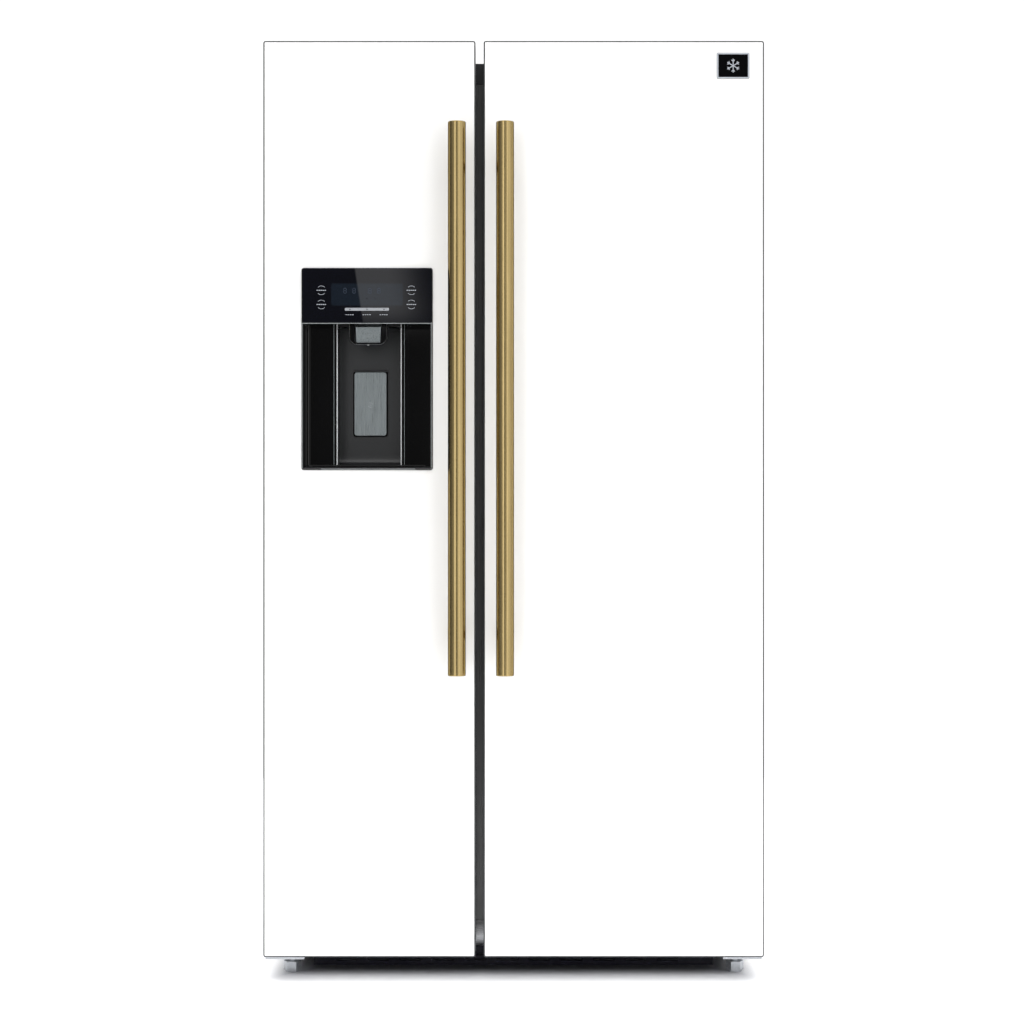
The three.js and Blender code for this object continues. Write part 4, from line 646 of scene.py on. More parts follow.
def dispenser_channel(sizes):
    """The channel's satin back: a foot that curves forward as a parabola, a plate above it with a hole for
    the paddle, and the pocket behind the hole that the paddle swings into."""
    r = recess(sizes)
    left, right = r.middle - r.half, r.middle + r.half
    low, high = low_high("dispenser_paddle")
    join = low[2] - 0.014
    slope = np.linspace(0, 1, 9)
    front = np.empty((len(slope) + 1, 2, 3))
    front[..., 0] = left, right
    front[..., 1] = np.append(r.back - 0.030 * (1 - slope) ** 2, r.back)[:, None]
    front[..., 2] = np.append(r.foot + 0.024 * slope**2, join)[:, None]
    behind = front + np.array([0, 0.0003, 0])
    sheet = surface(np.concatenate([front, behind[:, ::-1]], 1))

    hole_low, hole_high = low[[0, 2]] + (0.0005, -0.0022), high[[0, 2]] - (0.0005, 0.0012)
    corner = 0.005
    hole = (hole_low, hole_high, corner)
    field = holed_plate((left, join), (right, r.ceiling), 0.0003, *hole, r.back, r.back + 0.0004, 0.0001)
    start, end = r.back + 0.0001, r.back + sizes.paddle_pocket
    walls = rim(*hole, [(0, start), (0, end), (0.0004, end), (0.0004, start)])
    floor = plate((hole_low[0], end - 0.0003, hole_low[1]), (hole_high[0], end, hole_high[1]), corner, 0.0001)
    build("dispenser_channel_back", [sheet, field, walls, floor], LEFT, "black_plastic", "channel_plastic")


def dispenser_lining(sizes):
    """The polished lining: on each side a wing that turns through a quarter circle from the side wall to
    the channel's edge, and the channel's cheek behind it; then the roof and the floor."""
    r = recess(sizes)
    bottom = r.z0 + 0.0066
    corner = 0.0025
    turn = np.linspace(0, QUARTER, 7)
    wings = []
    for side in (-1, 1):
        wall = r.middle + side * ((r.x1 - r.x0) / 2 - sizes.bezel - 0.0005)
        across = wall - side * corner * (1 - np.cos(turn))
        bend = np.stack([across, r.wing - corner * (1 - np.sin(turn))], 1)
        edge = (r.middle + side * (r.half + 0.0004), r.wing)
        plan = np.concatenate([[(wall, r.face + 0.001)], bend, [edge]])
        loop = np.concatenate([plan, plan[::-1] + np.array([side * 0.0004, 0.0004])])
        rows = np.stack([np.column_stack([loop, np.full(len(loop), z)]) for z in (bottom, r.ceiling)])
        inner = r.middle + side * (r.half + 0.0002)
        cheek = np.sort([(inner, r.wing, bottom), (inner + side * 0.0004, r.back, r.ceiling)], 0)
        wings += [surface(rows), bar(*cheek, 0.0001)]
    x0, x1, near = r.x0 + sizes.bezel, r.x1 - sizes.bezel, r.face + 0.001
    roof = bar((x0, near, r.ceiling - 0.0004), (x1, r.wing, r.ceiling), 0.0001)
    floor = bar((x0, near, r.z0 + 0.0058), (x1, r.wing, r.z0 + 0.0064), 0.0002)
    parts = [*wings, roof, floor]
    build("dispenser_recess_lining", parts, LEFT, "black_gloss", "recess_black", ["dispenser_housing"])


def dispenser_beads(sizes):
    """Two bright beads down each side of the channel, the inner ones wider and standing further out."""
    r = recess(sizes)
    for name, finish, out, wide, reach in (
        ("inner", "bead_metal", 0.0012, 0.0021, 0.0016),
        ("outer", "paddle_metal", 0.0072, 0.0012, 0.0010),
    ):
        near, far = r.wing - reach, r.wing + 0.0008
        pair = [
            plate((x - wide / 2, near, r.foot), (x + wide / 2, far, r.ceiling), 0.0006, 0.0005)
            for x in (r.middle - (r.half + out), r.middle + (r.half + out))
        ]
        build(f"dispenser_{name}_beads", pair, LEFT, "satin_metal", finish)


def drip_tray():
    """The drip tray's dish, under slats 1.4 mm wide and 5.5 mm apart."""
    low, high = low_high("drip_tray")
    dish = plate(low - (0, 0, 0.0003), high - (0, 0, 0.0112), 0.006, 0.0006, "z")
    slats = [
        bar((x, low[1] + 0.006, high[2] - 0.0114), (x + 0.0014, high[1] - 0.006, high[2] - 0.0102))
        for x in np.arange(low[0] + 0.010, high[0] - 0.010, 0.0055)
    ]
    build("drip_tray_grille", [dish, *slats], LEFT, "black_plastic", "recess_black", ["drip_tray"])


def dispenser_painted_highlights(sizes):
    """Thin bright metal strips down the rim, along the sill and on the ledge under the panel: painted
    highlights on those edges.
    """
    r = recess(sizes)
    near, far, foot = r.face - 0.0014, r.face + 0.001, r.z0 + 0.003
    left = bar((r.x0 + 0.0012, near, foot), (r.x0 + 0.0022, far, r.ceiling))
    right = bar((r.x1 - 0.0034, near, foot), (r.x1 - 0.0020, far, r.z1 - 0.004))
    sill = bar((r.x0 + 0.036, near, r.z0 + 0.0015), (r.x1 - 0.032, far, r.z0 + 0.0026))
    ledge_low = (r.x0 + 0.001, r.panel_face - 0.0002, r.ceiling + 0.0002)
    ledge_high = (r.x1 - 0.001, r.panel_face + 0.001, r.ceiling + 0.0014)
    lines = [left, right, sill, bar(ledge_low, ledge_high)]
    # Painted highlights along the rim's edges, the sill and the ledge.
    build("dispenser_painted_highlights", lines, LEFT, "satin_metal")


def printed(sizes, x0, z0, x1, z1, corner=0.0004):
    """A thin flat mark on the control glass between two corners."""
    face = low_high("dispenser_panel")[0][1]
    return plate((x0, face - sizes.print_lift, z0), (x1, face + 0.0001, z1), corner, 0.00004, steps=3)


def display(sizes):
    """The control glass, its smoked window, and four unlit figures over three short dashes."""
    low, high = low_high("dispenser_panel")
    glass = plate(low, high, 0.005, 0.0006, steps=8)
    build("control_glass", [glass], LEFT, "black_gloss", "panel_glass", replaces=["dispenser_panel"])
    centre, top = (low[0] + high[0]) / 2, high[2]
    window = printed(sizes, centre - 0.065, top - 0.068, centre + 0.065, top - 0.028, 0.003)
    build("display_window", [window], LEFT, "black_gloss", "window")
    digits = []
    for number in range(4):
        x = centre - 0.040 + 0.0165 * number + (0.012 if number > 1 else 0)
        digits += seven_segments(x, top - 0.041, 0.0088, 0.0052, low[1] - sizes.print_lift)
    for step in (-9, 0, 9):
        x = centre + step * 0.0016
        digits.append(printed(sizes, x - 0.0012, top - 0.0556, x + 0.0012, top - 0.0546))
    build("display_digits", digits, LEFT, "black_gloss", "dim_ink")


def touch_rings(sizes):
    """Four touch fields, each two arcs round a row of five short strokes in the place of a word."""
    low, high = low_high("dispenser_panel")
    top, skin = high[2], low[1] - sizes.print_lift
    marks = []
    for x in (low[0] + 0.0356, high[0] - 0.0378):
        for z in (top - 0.0402, top - 0.0660):
            marks += [ring_arc(x, z, 0.0080, 0.0006, start, skin) for start in (0.72, 0.72 + math.pi)]
            for cell in range(5):
                at = x - 0.0086 + 0.0036 * cell
                marks.append(printed(sizes, at, z - 0.0007, at + 0.0026, z + 0.0007, 0.0003))
    build("touch_rings", marks, LEFT, "satin_metal", "light_ink")


def level_bar(sizes):
    """The silver level bar with three dots on it, and a row of four short strokes under each dot."""
    low, high = low_high("dispenser_panel")
    centre, skin = (low[0] + high[0]) / 2, low[1] - sizes.print_lift
    z = low[2] + 0.0253
    level = printed(sizes, centre - 0.0402, z - 0.0026, centre + 0.0400, z + 0.0026, 0.0016)
    build("level_bar", [level], LEFT, "satin_metal", "silver_ink")
    dots, strokes = [], []
    for step in (-1, 0, 1):
        x = centre + 0.0309 * step
        dots.append(revolve([(0.0011, skin - 0.0001), (0.0011, skin + 0.00005)], (x, 0, z), "y", 16))
        for cell in range(4):
            at = x - 0.0080 + 0.0040 * cell
            strokes.append(printed(sizes, at, z - 0.0104, at + 0.0028, z - 0.0094, 0.0003))
    build("level_dots", dots, LEFT, "black_gloss", "panel_glass")
    build("printed_strokes", strokes, LEFT, "satin_metal", "light_ink")


def seven_segments(x, z, tall, wide, skin):
    """A seven-segment figure eight, its middle at x, z: three level bars and four upright ones."""
    thick = tall * 0.09
    half, rise = wide / 2, tall / 2
    bars = (
        (0, rise, half, thick), (half, rise / 2, thick, rise / 2), (half, -rise / 2, thick, rise / 2),
        (0, -rise, half, thick), (-half, -rise / 2, thick, rise / 2), (-half, rise / 2, thick, rise / 2),
        (0, 0, half, thick),
    )
    parts = []
    for cx, cz, w, h in bars:
        w, h = max(w - thick, thick * 0.6), max(h - thick, thick * 0.6)
        low = (x + cx - w, skin - 0.00002, z + cz - h)
        high = (x + cx + w, skin + 0.0001, z + cz + h)
        parts.append(bar(low, high, 0.00003))
    return parts


def ring_arc(x, z, radius, wide, start, skin):
    """An arc of about 97 degrees, flat and thin: its inner and outer edges are the cosine and the sine of
    the same angles, at the radius less and plus half the width."""
    turn = np.linspace(start, start + 1.7, 18)
    inner, outer = radius - wide / 2, radius + wide / 2
    ends = np.array([[inner, skin], [outer, skin], [outer, skin + 0.0001], [inner, skin + 0.0001]])
    rows = np.empty((len(turn), 4, 3))
    rows[..., 0] = x + ends[:, 0] * np.cos(turn)[:, None]
    rows[..., 1] = ends[:, 1]
    rows[..., 2] = z + ends[:, 0] * np.sin(turn)[:, None]
    return surface(rows)


def nozzle():
    """The ice and water outlet: a brushed sleeve that narrows downwards, open below, inside a black
    surround with rounded lower corners."""
    low, high = low_high("dispenser_nozzle")
    taper = 0.0035
    heights = np.linspace(high[2], low[2], 6)
    shape = outline(low[:2], high[:2], 0.005, 6)
    share = (high[2] - heights) / (high[2] - low[2])
    outer = [(-taper * s, h) for s, h in zip(share, heights)]
    inner = [(o - 0.002, h) for o, h in outer[::-1]]
    sleeve = surface(carry(outer + inner, *shape, "z"), ends="closed")
    build("nozzle_sleeve", [sleeve], LEFT, "satin_metal", "paddle_metal", replaces=["dispenser_nozzle"])
    wide, depth = 0.0078, 0.006
    near = low[1] - 0.0025
    top, bottom = high[2] + 0.0014, low[2] - 0.0012
    outer = ((low[0] - wide, bottom - 0.0022), (high[0] + wide, top + 0.014), 0.013)
    inner = ((low[0] + 0.001, bottom), (high[0] - 0.001, top + 0.012), 0.004)
    collar = holed_plate(*outer, *inner, near, near + depth, 0.0006)
    build("nozzle_surround", [collar], LEFT, "black_gloss", "recess_black")
    # Painted highlight: a bright metal bead round the surround's edge, built in one piece with the small ring
    # under the outlet.
    bead = [
        (0.0004, near + 0.0010), (0.0010, near + 0.0002), (0.0004, near - 0.0005), (-0.0003, near + 0.0002),
    ]
    drop = [(0.0022, bottom - 0.0044), (0.0026, bottom - 0.0032), (0.0022, bottom - 0.0022)]
    drip = revolve(drop, ((low[0] + high[0]) / 2, near + 0.003, 0), "z", 20)
    build("nozzle_painted_highlight_bead", [rim(*outer, bead), drip], LEFT, "satin_metal")


def paddle():
    """The push paddle: a satin plate with rounded corners, a raised border and a drop mark."""
    low, high = low_high("dispenser_paddle")
    x0, x1 = low[0] + 0.003, high[0] - 0.003
    z0, z1 = low[2], high[2] - 0.004
    near = low[1] + 0.0008
    face = plate((x0, near, z0), (x1, near + 0.0038, z1), 0.0045, 0.0009)
    section = [(0, near + 0.001), (0, near - 0.0005), (-0.0009, near - 0.0005), (-0.0012, near + 0.001)]
    border = rim((x0 + 0.0004, z0 + 0.0004), (x1 - 0.0004, z1 - 0.0004), 0.0045, section)
    pin_at = (0, (low[1] + high[1]) / 2, (high[2] + z1) / 2)
    pin = revolve([(0.0014, low[0] + 0.0006), (0.0014, high[0] - 0.0006)], pin_at, "x", 16)
    whole = ["dispenser_paddle"]
    build("paddle_plate", [face, border], "paddle", "satin_metal", "paddle_metal", replaces=whole)
    build("paddle_pin", [pin], "paddle", "satin_metal", "channel_plastic")
    middle, mark = (x0 + x1) / 2, (z0 + z1) / 2 - 0.002
    starts = (0.35, 0.35 + math.pi)
    drop = [ring_arc(middle, mark, 0.0042, 0.0007, start, near - 0.0001) for start in starts]
    dash_low = (middle - 0.0016, near - 0.0001, mark - 0.0003)
    dash_high = (middle + 0.0016, near + 0.0001, mark + 0.0003)
    drop.append(bar(dash_low, dash_high, 0.00004))
    build("paddle_mark", drop, "paddle", "satin_metal", "light_ink")


def badge(sizes):
    """A small black plate with a silver border and a plain snowflake of three crossed bars."""
    low, high = low_high("fridge_door_panel")
    x1, z1 = high[0] - sizes.badge_inset, high[2] - 0.0220
    x0, z0 = x1 - 0.0590, z1 - 0.0467
    near = low[1]
    ground = plate((x0, near - 0.0011, z0), (x1, near + 0.0004, z1), 0.0015, 0.0003)
    build("badge_ground", [ground], RIGHT, "black_gloss", "badge_black")
    section = [(0, near), (-0.0005, near - 0.0016), (-0.0022, near - 0.0016), (-0.0028, near - 0.0009)]
    border = rim((x0, z0), (x1, z1), 0.0016, section)
    centre = np.array([(x0 + x1) / 2, (z0 + z1) / 2])
    flake = []
    for third in range(6):
        along = np.array([math.cos(third * math.pi / 3 + QUARTER), math.sin(third * math.pi / 3 + QUARTER)])
        across = np.array([-along[1], along[0]])
        flake.append(stroke(centre, centre + 0.0125 * along, 0.0007, near - 0.0013))
        for side in (-1, 1):
            start = centre + 0.0075 * along
            flake.append(stroke(start, start + 0.0038 * (along + side * across) * 0.8, 0.0006, near - 0.0013))
    build("badge_border_and_snowflake", [border, *flake], RIGHT, "satin_metal", "light_ink")


def stroke(start, end, half, near):
    """A flat bar between two points of the door's face: four corners pushed out square to its length."""
    along = (end - start) / np.linalg.norm(end - start)
    across = np.array([-along[1], along[0]]) * half
    corners = np.array([start + across, start - across, end - across, end + across])
    rows = np.empty((2, 4, 3))
    rows[..., 0] = corners[:, 0]
    rows[..., 2] = corners[:, 1]
    rows[:, :, 1] = np.array([near, near + 0.0004])[:, None]
    return surface(rows)


# ---------------------------------------------------------------- inside


def shelf(node):
    """A toughened glass shelf with ground edges, held by a deep white front trim, two slim side rails and
    a low stop along the rear."""
    low, high = low_high(node)
    pane_low = (low[0] + 0.003, low[1] + 0.004, low[2] + 0.001)
    pane_high = (high[0] - 0.003, high[1] - 0.002, low[2] + 0.0045)
    pane = plate(pane_low, pane_high, 0.004, 0.0008, "z")
    build(node + "_glass", [pane], "cabinet", "shelf_glass", replaces=[node])
    trim = plate((low[0], low[1], low[2]), (high[0], low[1] + 0.011, high[2]), 0.003, 0.0018, "x")
    rails = [
        plate((x, low[1] + 0.009, low[2]), (x + 0.010, high[1] - 0.001, low[2] + 0.0075), 0.002, 0.0008, "y")
        for x in (low[0], high[0] - 0.010)
    ]
    stop_low = (low[0] + 0.008, high[1] - 0.008, low[2])
    stop_high = (high[0] - 0.008, high[1], low[2] + 0.012)
    stop = plate(stop_low, stop_high, 0.002, 0.0008, "x")
    build(node + "_trim", [trim, *rails, stop], "cabinet", "shelf_glass", "white_plastic")


def tub(low, high, wall=0.0026, corner=0.012, draft=0.004):
    """An open box: its rounded outline carried up the outside, over the rim and down the inside."""
    profile = [
        (-draft - 0.006, low[2]), (-draft - 0.002, low[2] + 0.0012), (-draft, low[2] + 0.006),
        (0, high[2] - 0.0006), (-0.0006, high[2]), (0.0006 - wall, high[2]), (-wall, high[2] - 0.0006),
        (-draft - wall, low[2] + 0.008), (-draft - wall - 0.004, low[2] + 0.003),
    ]
    return surface(carry(profile, *outline(low[:2], high[:2], corner), "z"))


def lip(low, high, tall=0.010, corner=0.012):
    """A bead carried round the top of a bin: 1.6 mm proud of it, rolled over inwards."""
    top = high[2]
    profile = [
        (0.0008, top - tall), (0.0016, top - tall + 0.001), (0.0016, top + 0.0002), (0.0008, top + 0.0012),
        (-0.0030, top + 0.0012), (-0.0036, top + 0.0004), (-0.0036, top - 0.001), (0.0002, top - 0.001),
    ]
    return rim(low[:2], high[:2], corner, profile, "z")


def more_bins():
    """Door bins between the frame's own, of the same depth, and a white lip on every bin."""
    for body, (pattern, heights) in EXTRA_BINS.items():
        low, high = low_high(pattern)
        tall = high[2] - low[2]
        for number, z in enumerate(heights):
            corners = np.array([low, high])
            corners[:, 2] = z, z + tall
            build(f"{body}_extra_bin_{number + 1}", [tub(*corners)], body, "clear_plastic")
            build(f"{body}_extra_bin_lip_{number + 1}", [lip(*corners)], body, "white_plastic")
    for body, node in (
        (LEFT, "freezer_bin_lower"), (LEFT, "freezer_bin_upper"), (RIGHT, "fridge_bin_lower"),
    ):
        build(node + "_lip", [lip(*low_high(node), corner=0.003)], body, "white_plastic")


def drawer_trims():
    """A white bar along each drawer's front with a scooped underside to pull it by: one section carried
    across, shrunk towards its middle at both ends."""
    for node in ("freezer_drawer_lower", "freezer_drawer_upper", "crisper_lower", "crisper_upper"):
        low, high = low_high(node)
        front = low[1]
        z = high[2] - 0.030
        section = np.array([
            (front + 0.0008, z), (front - 0.0030, z - 0.001), (front - 0.0072, z - 0.006),
            (front - 0.0078, z - 0.004), (front - 0.0078, z + 0.006), (front - 0.0060, z + 0.012),
            (front - 0.0020, z + 0.016), (front + 0.0008, z + 0.016),
        ])
        across = (low[0] + high[0]) / 2 + (high[0] - low[0]) * np.array([-0.42, -0.415, 0.415, 0.42])
        shrink = np.array([0.6, 1.0, 1.0, 0.6])
        centre = section.mean(0)
        rows = np.empty((4, len(section), 3))
        rows[..., 0] = across[:, None]
        rows[..., 1:] = centre + (section - centre) * shrink[:, None, None]
        build(node + "_pull", [surface(rows)], NODES[node]["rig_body"], "clear_plastic", "white_plastic")


def vents(x0, x1, heights, near, thick=0.0005):
    """Groups of five level slots, each 3 mm tall with rounded ends and 9 mm above the last; a group starts
    at each height."""
    return [
        plate((x0, near, z + 0.009 * k), (x1, near + thick, z + 0.009 * k + 0.003), 0.0014, 0.0001, "y", 3)
        for z in heights
        for k in range(5)
    ]


def air_vents():
    """The fridge's rear air channel with its slots, and the slots in the freezer's rear cover."""
    low, high = low_high("fridge_liner")
    wall, ceiling = high[1] - 0.002, high[2] - 0.002
    middle = (low[0] + high[0]) / 2
    channel_low = (middle - 0.055, wall - 0.0062, CHANNEL_FOOT)
    channel_high = (middle + 0.055, wall - 0.0002, ceiling - 0.02)
    channel = plate(channel_low, channel_high, 0.010, 0.003)
    build("fridge_air_channel", [channel], "cabinet", "white_plastic")
    slots = vents(middle - 0.038, middle + 0.038, FRIDGE_SLOTS, wall - 0.0065)
    build("fridge_air_slots", slots, "cabinet", "black_plastic")
    cover_low, cover_high = low_high("evaporator_cover")
    face = cover_low[1] + 0.026
    middle = (cover_low[0] + cover_high[0]) / 2
    slots = vents(middle - 0.05, middle + 0.05, FREEZER_SLOTS, face - 0.0003)
    build("freezer_air_slots", slots, "cabinet", "black_plastic")


def ceiling_lamps():
    """A frosted lamp cover in the ceiling of each compartment, 4 mm deep."""
    low, high = low_high("fridge_liner")
    ceiling = high[2] - 0.002
    top, bottom = ceiling - 0.0002, ceiling - 0.0042
    middle = (low[0] + high[0]) / 2
    lamps = [
        plate((middle - 0.10, -0.150, bottom), (middle + 0.10, -0.100, top), 0.006, 0.0015, "z"),
        plate((-0.200, -0.200, bottom), (-0.120, -0.160, top), 0.006, 0.0015, "z"),
    ]
    build("ceiling_lamps", lamps, "cabinet", "white_plastic", "lamp")


def ice_level_arm():
    """The ice maker's wire arm: a rod that runs out of its side, down, along and back in."""
    low, high = low_high("ice_maker")
    x, z = high[0], low[2]
    root, outer = x - 0.002, x + 0.007
    upper, lower = z + 0.03, z - 0.022
    front, rear = -0.085, 0.100
    corners = np.array([
        (root, front, upper), (outer, front, upper), (outer, front, lower),
        (outer, rear, lower), (outer, rear, upper), (root, rear, upper),
    ])
    rod = tube(rounded_path(corners, 0.004), 0.0013, 10, (1, 0.3, 0.2))
    build("ice_level_arm", [rod], "cabinet", "satin_metal")


def rounded_path(corners, radius, steps=6):
    """A path through corners with each inner corner cut by a quadratic curve of about that radius."""
    share = np.linspace(0, 1, steps)[:, None]
    path = [corners[:1]]
    for before, at, after in zip(corners[:-2], corners[1:-1], corners[2:]):
        start = at + (before - at) * radius / np.linalg.norm(before - at)
        end = at + (after - at) * radius / np.linalg.norm(after - at)
        path.append((1 - share) ** 2 * start + 2 * share * (1 - share) * at + share**2 * end)
    path.append(corners[-1:])
    return np.concatenate(path)


# ---------------------------------------------------------------- outside


def screw_head(at, along, out):
    """A domed pan head with a flat recess, 8 mm across; out is +1 or -1 along the axis."""
    profile = [(0.0040, 0), (0.0038, 0.0005), (0.0030, 0.0011), (0.0016, 0.0014), (0.0013, 0.0009)]
    depths = [(radius, out * height) for radius, height in profile]
    return revolve(depths, at, along, 20)


def swage(low, high, level, along, out, corner=0.03):
    """A pressed stiffening ridge, 9 mm wide and 1.2 mm high, round a rounded rectangle."""
    turn = np.linspace(0, math.pi, 9)
    profile = [(0.0045 * math.cos(t), level + out * 0.0012 * math.sin(t)) for t in turn]
    return rim(low, high, corner, profile, along, 8)


def rear_screws():
    """Pan heads along the top and the bottom of the rear cover, and up both sides of the back."""
    low, high = low_high("cabinet_shell")
    cover_low, cover_high = low_high("machine_cover")
    level = high[1] + 0.0001
    screws = [
        screw_head((x, level, z), "y", 1)
        for x in np.linspace(cover_low[0] + 0.012, cover_high[0] - 0.012, 5)
        for z in (cover_low[2] + 0.010, cover_high[2] - 0.010)
    ]
    screws += [
        screw_head((x, level, z), "y", 1)
        for x in (low[0] + 0.012, high[0] - 0.012)
        for z in np.linspace(cover_high[2] + 0.05, high[2] - 0.05, 5)
    ]
    build("rear_screws", screws, "cabinet", "zinc_steel")


def pressed_ridges():
    """Stiffening ridges pressed in the back, three above each other, and one in the top."""
    low, high = low_high("cabinet_shell")
    back, top = high[1], high[2]
    half = high[0] - 0.06
    ridges = [swage((-half, z0), (half, z1), back - 0.0001, "y", 1) for z0, z1 in BACK_RIDGES]
    top_half = half - 0.06
    ridges.append(swage((-top_half, low[1] + 0.16), (top_half, back - 0.09), top - 0.0001, "z", 1))
    build("pressed_ridges", ridges, "cabinet", "painted_steel")


# ---------------------------------------------------------------- carried-over nodes

SOFT_NODES = {  # node: (slot, edge radius in metres, finish where it isn't the slot's own)
    "cabinet_shell": ("painted_steel", 0.0012),
    "freezer_liner": ("white_plastic", 0.003),
    "fridge_liner": ("white_plastic", 0.003),
    "top_trim": ("black_plastic", 0.0015),
    "bottom_beam": ("dark_steel", 0.0008, "beam_metal"),
    "kick_plate": ("black_plastic", 0.0006, "toe_black"),
    "base_frame": ("zinc_steel", 0.0006),
    "top_hinge_left": ("zinc_steel", 0.0008),
    "top_hinge_right": ("zinc_steel", 0.0008),
    "hinge_cover_left": ("white_plastic", 0.004),
    "hinge_cover_right": ("white_plastic", 0.004),
    "lower_hinge_left": ("zinc_steel", 0.0009),
    "lower_hinge_right": ("zinc_steel", 0.0009),
    "levelling_foot_left": ("zinc_steel", 0.0012),
    "levelling_foot_right": ("zinc_steel", 0.0012),
    "machine_cover": ("black_enamel", 0.0006),
    "evaporator_cover": ("white_plastic", 0.0012),
    "ice_maker": ("white_plastic", 0.0015),
    "ice_bucket": ("clear_plastic", 0.0008),
    "freezer_door_frame": ("painted_steel", 0.0008),
    "fridge_door_frame": ("painted_steel", 0.0008),
    "freezer_door_liner": ("white_plastic", 0.003),
    "fridge_door_liner": ("white_plastic", 0.003),
    "freezer_bin_upper": ("clear_plastic", 0.0009),
    "freezer_bin_lower": ("clear_plastic", 0.0009),
    "fridge_bin_lower": ("clear_plastic", 0.0009),
    "dairy_bin": ("clear_plastic", 0.0009),
    "dairy_cover": ("clear_plastic", 0.0008),
    "freezer_drawer_lower": ("clear_plastic", 0.0009),
    "freezer_drawer_upper": ("clear_plastic", 0.0009),
    "crisper_lower": ("clear_plastic", 0.0009),
    "crisper_upper": ("clear_plastic", 0.0009),
}
PLAIN_NODES = {
    "cabinet_foam": "insulating_foam",
    "mullion_cover": "dark_steel",
    "rear_roller_left": "tyre_rubber",
    "rear_roller_right": "tyre_rubber",
    "compressor": "black_enamel",
    "condenser": "bare_aluminium",
    "condenser_fan": "black_plastic",
    "evaporator": "bare_aluminium",
    "evaporator_fan": "black_plastic",
    "ice_auger": "satin_metal",
}


# ---------------------------------------------------------------- stage


ROOM_LIGHT = (  # degrees to the right of straight ahead of the doors, share of the room light
    (-180, 0.42), (-120, 0.26), (-95, 0.10), (-70, 0.18), (-48, 0.34), (-31, 0.48), (-27, 1.65),
    (-19, 1.65), (-13, 0.95), (-8, 0.08), (-2.4, 0.08), (0, 0.42), (9, 0.50), (21, 0.62), (25, 1.45),
    (33, 1.45), (38, 0.95), (60, 0.95), (85, 0.70), (105, 0.34), (130, 0.38), (180, 0.42),
)


def between(tree, value, low, high, soft_low, soft_high):
    """1 between low and high, falling smoothly to 0 over its own soft width at each."""
    rise = {"Value": value, "From Min": low - soft_low, "From Max": low + soft_low}
    fall = {"Value": value, "From Min": high + soft_high, "From Max": high - soft_high}
    edges = [
        add(tree, "ShaderNodeMapRange", sockets, interpolation_type="SMOOTHSTEP").outputs["Result"]
        for sockets in (rise, fall)
    ]
    return add(tree, "ShaderNodeMath", {0: edges[0], 1: edges[1]}, operation="MULTIPLY").outputs[0]


def studio_light(stage):
    """A studio whose walls follow ROOM_LIGHT round the compass, under a bright ceiling, with one small
    soft box in front that gloss surfaces mirror; the background itself is white."""
    world = bpy.data.worlds.new("studio")
    bpy.context.scene.world = world
    world.use_nodes = True
    tree = world.node_tree
    tree.nodes.clear()
    way = add(tree, "ShaderNodeTexCoord").outputs["Generated"]
    part = add(tree, "ShaderNodeSeparateXYZ", {"Vector": way}).outputs
    front = add(tree, "ShaderNodeMath", {0: part["Y"], 1: -1.0}, operation="MULTIPLY").outputs[0]
    azimuth = add(tree, "ShaderNodeMath", {0: part["X"], 1: front}, operation="ARCTAN2").outputs[0]
    height = add(tree, "ShaderNodeMath", {0: part["Z"]}, operation="ARCSINE").outputs[0]
    deg = math.pi / 180

    share = {"Value": azimuth, "From Min": -math.pi, "From Max": math.pi}
    place = add(tree, "ShaderNodeMapRange", share).outputs["Result"]
    round_about = add(tree, "ShaderNodeValToRGB", {"Fac": place})
    stops = round_about.color_ramp
    stops.interpolation = "EASE"
    behind = ROOM_LIGHT[0][1]
    stops.elements[0].color = stops.elements[1].color = (behind, behind, behind, 1)
    for angle, bright in ROOM_LIGHT[1:-1]:
        stops.elements.new(0.5 + angle / 360).color = (bright, bright, bright, 1)
    sockets = {0: round_about.outputs["Color"], 1: stage.room_light}
    walls = add(tree, "ShaderNodeMath", sockets, operation="MULTIPLY").outputs[0]
    sockets = {"Value": height, "From Min": 30 * deg, "From Max": 60 * deg, "To Min": 0.0}
    sockets["To Max"] = stage.top_light
    overhead = add(tree, "ShaderNodeMapRange", sockets, interpolation_type="SMOOTHSTEP").outputs["Result"]
    room = add(tree, "ShaderNodeMath", {0: walls, 1: overhead}, operation="MAXIMUM").outputs[0]
    sockets = {0: height, 1: 0.156, 2: azimuth}
    slant = add(tree, "ShaderNodeMath", sockets, operation="MULTIPLY_ADD").outputs[0]
    across = between(tree, slant, -3.43 * deg, -1.9 * deg, 0.03 * deg, 0.7 * deg)
    upright = between(tree, height, 5.5 * deg, 13 * deg, 0.5 * deg, 2 * deg)
    patch = add(tree, "ShaderNodeMath", {0: across, 1: upright}, operation="MULTIPLY").outputs[0]
    sockets = {0: patch, 1: stage.patch_light, 2: room}
    total = add(tree, "ShaderNodeMath", sockets, operation="MULTIPLY_ADD").outputs[0]

    lit = add(tree, "ShaderNodeBackground", {"Strength": total}).outputs["Background"]
    white = {"Color": (1, 1, 1, 1), "Strength": 1.1}
    seen = add(tree, "ShaderNodeBackground", white).outputs["Background"]
    camera_ray = add(tree, "ShaderNodeLightPath").outputs["Is Camera Ray"]
    mixed = add(tree, "ShaderNodeMixShader", {0: camera_ray, 1: lit, 2: seen}).outputs["Shader"]
    add(tree, "ShaderNodeOutputWorld", {"Surface": mixed})


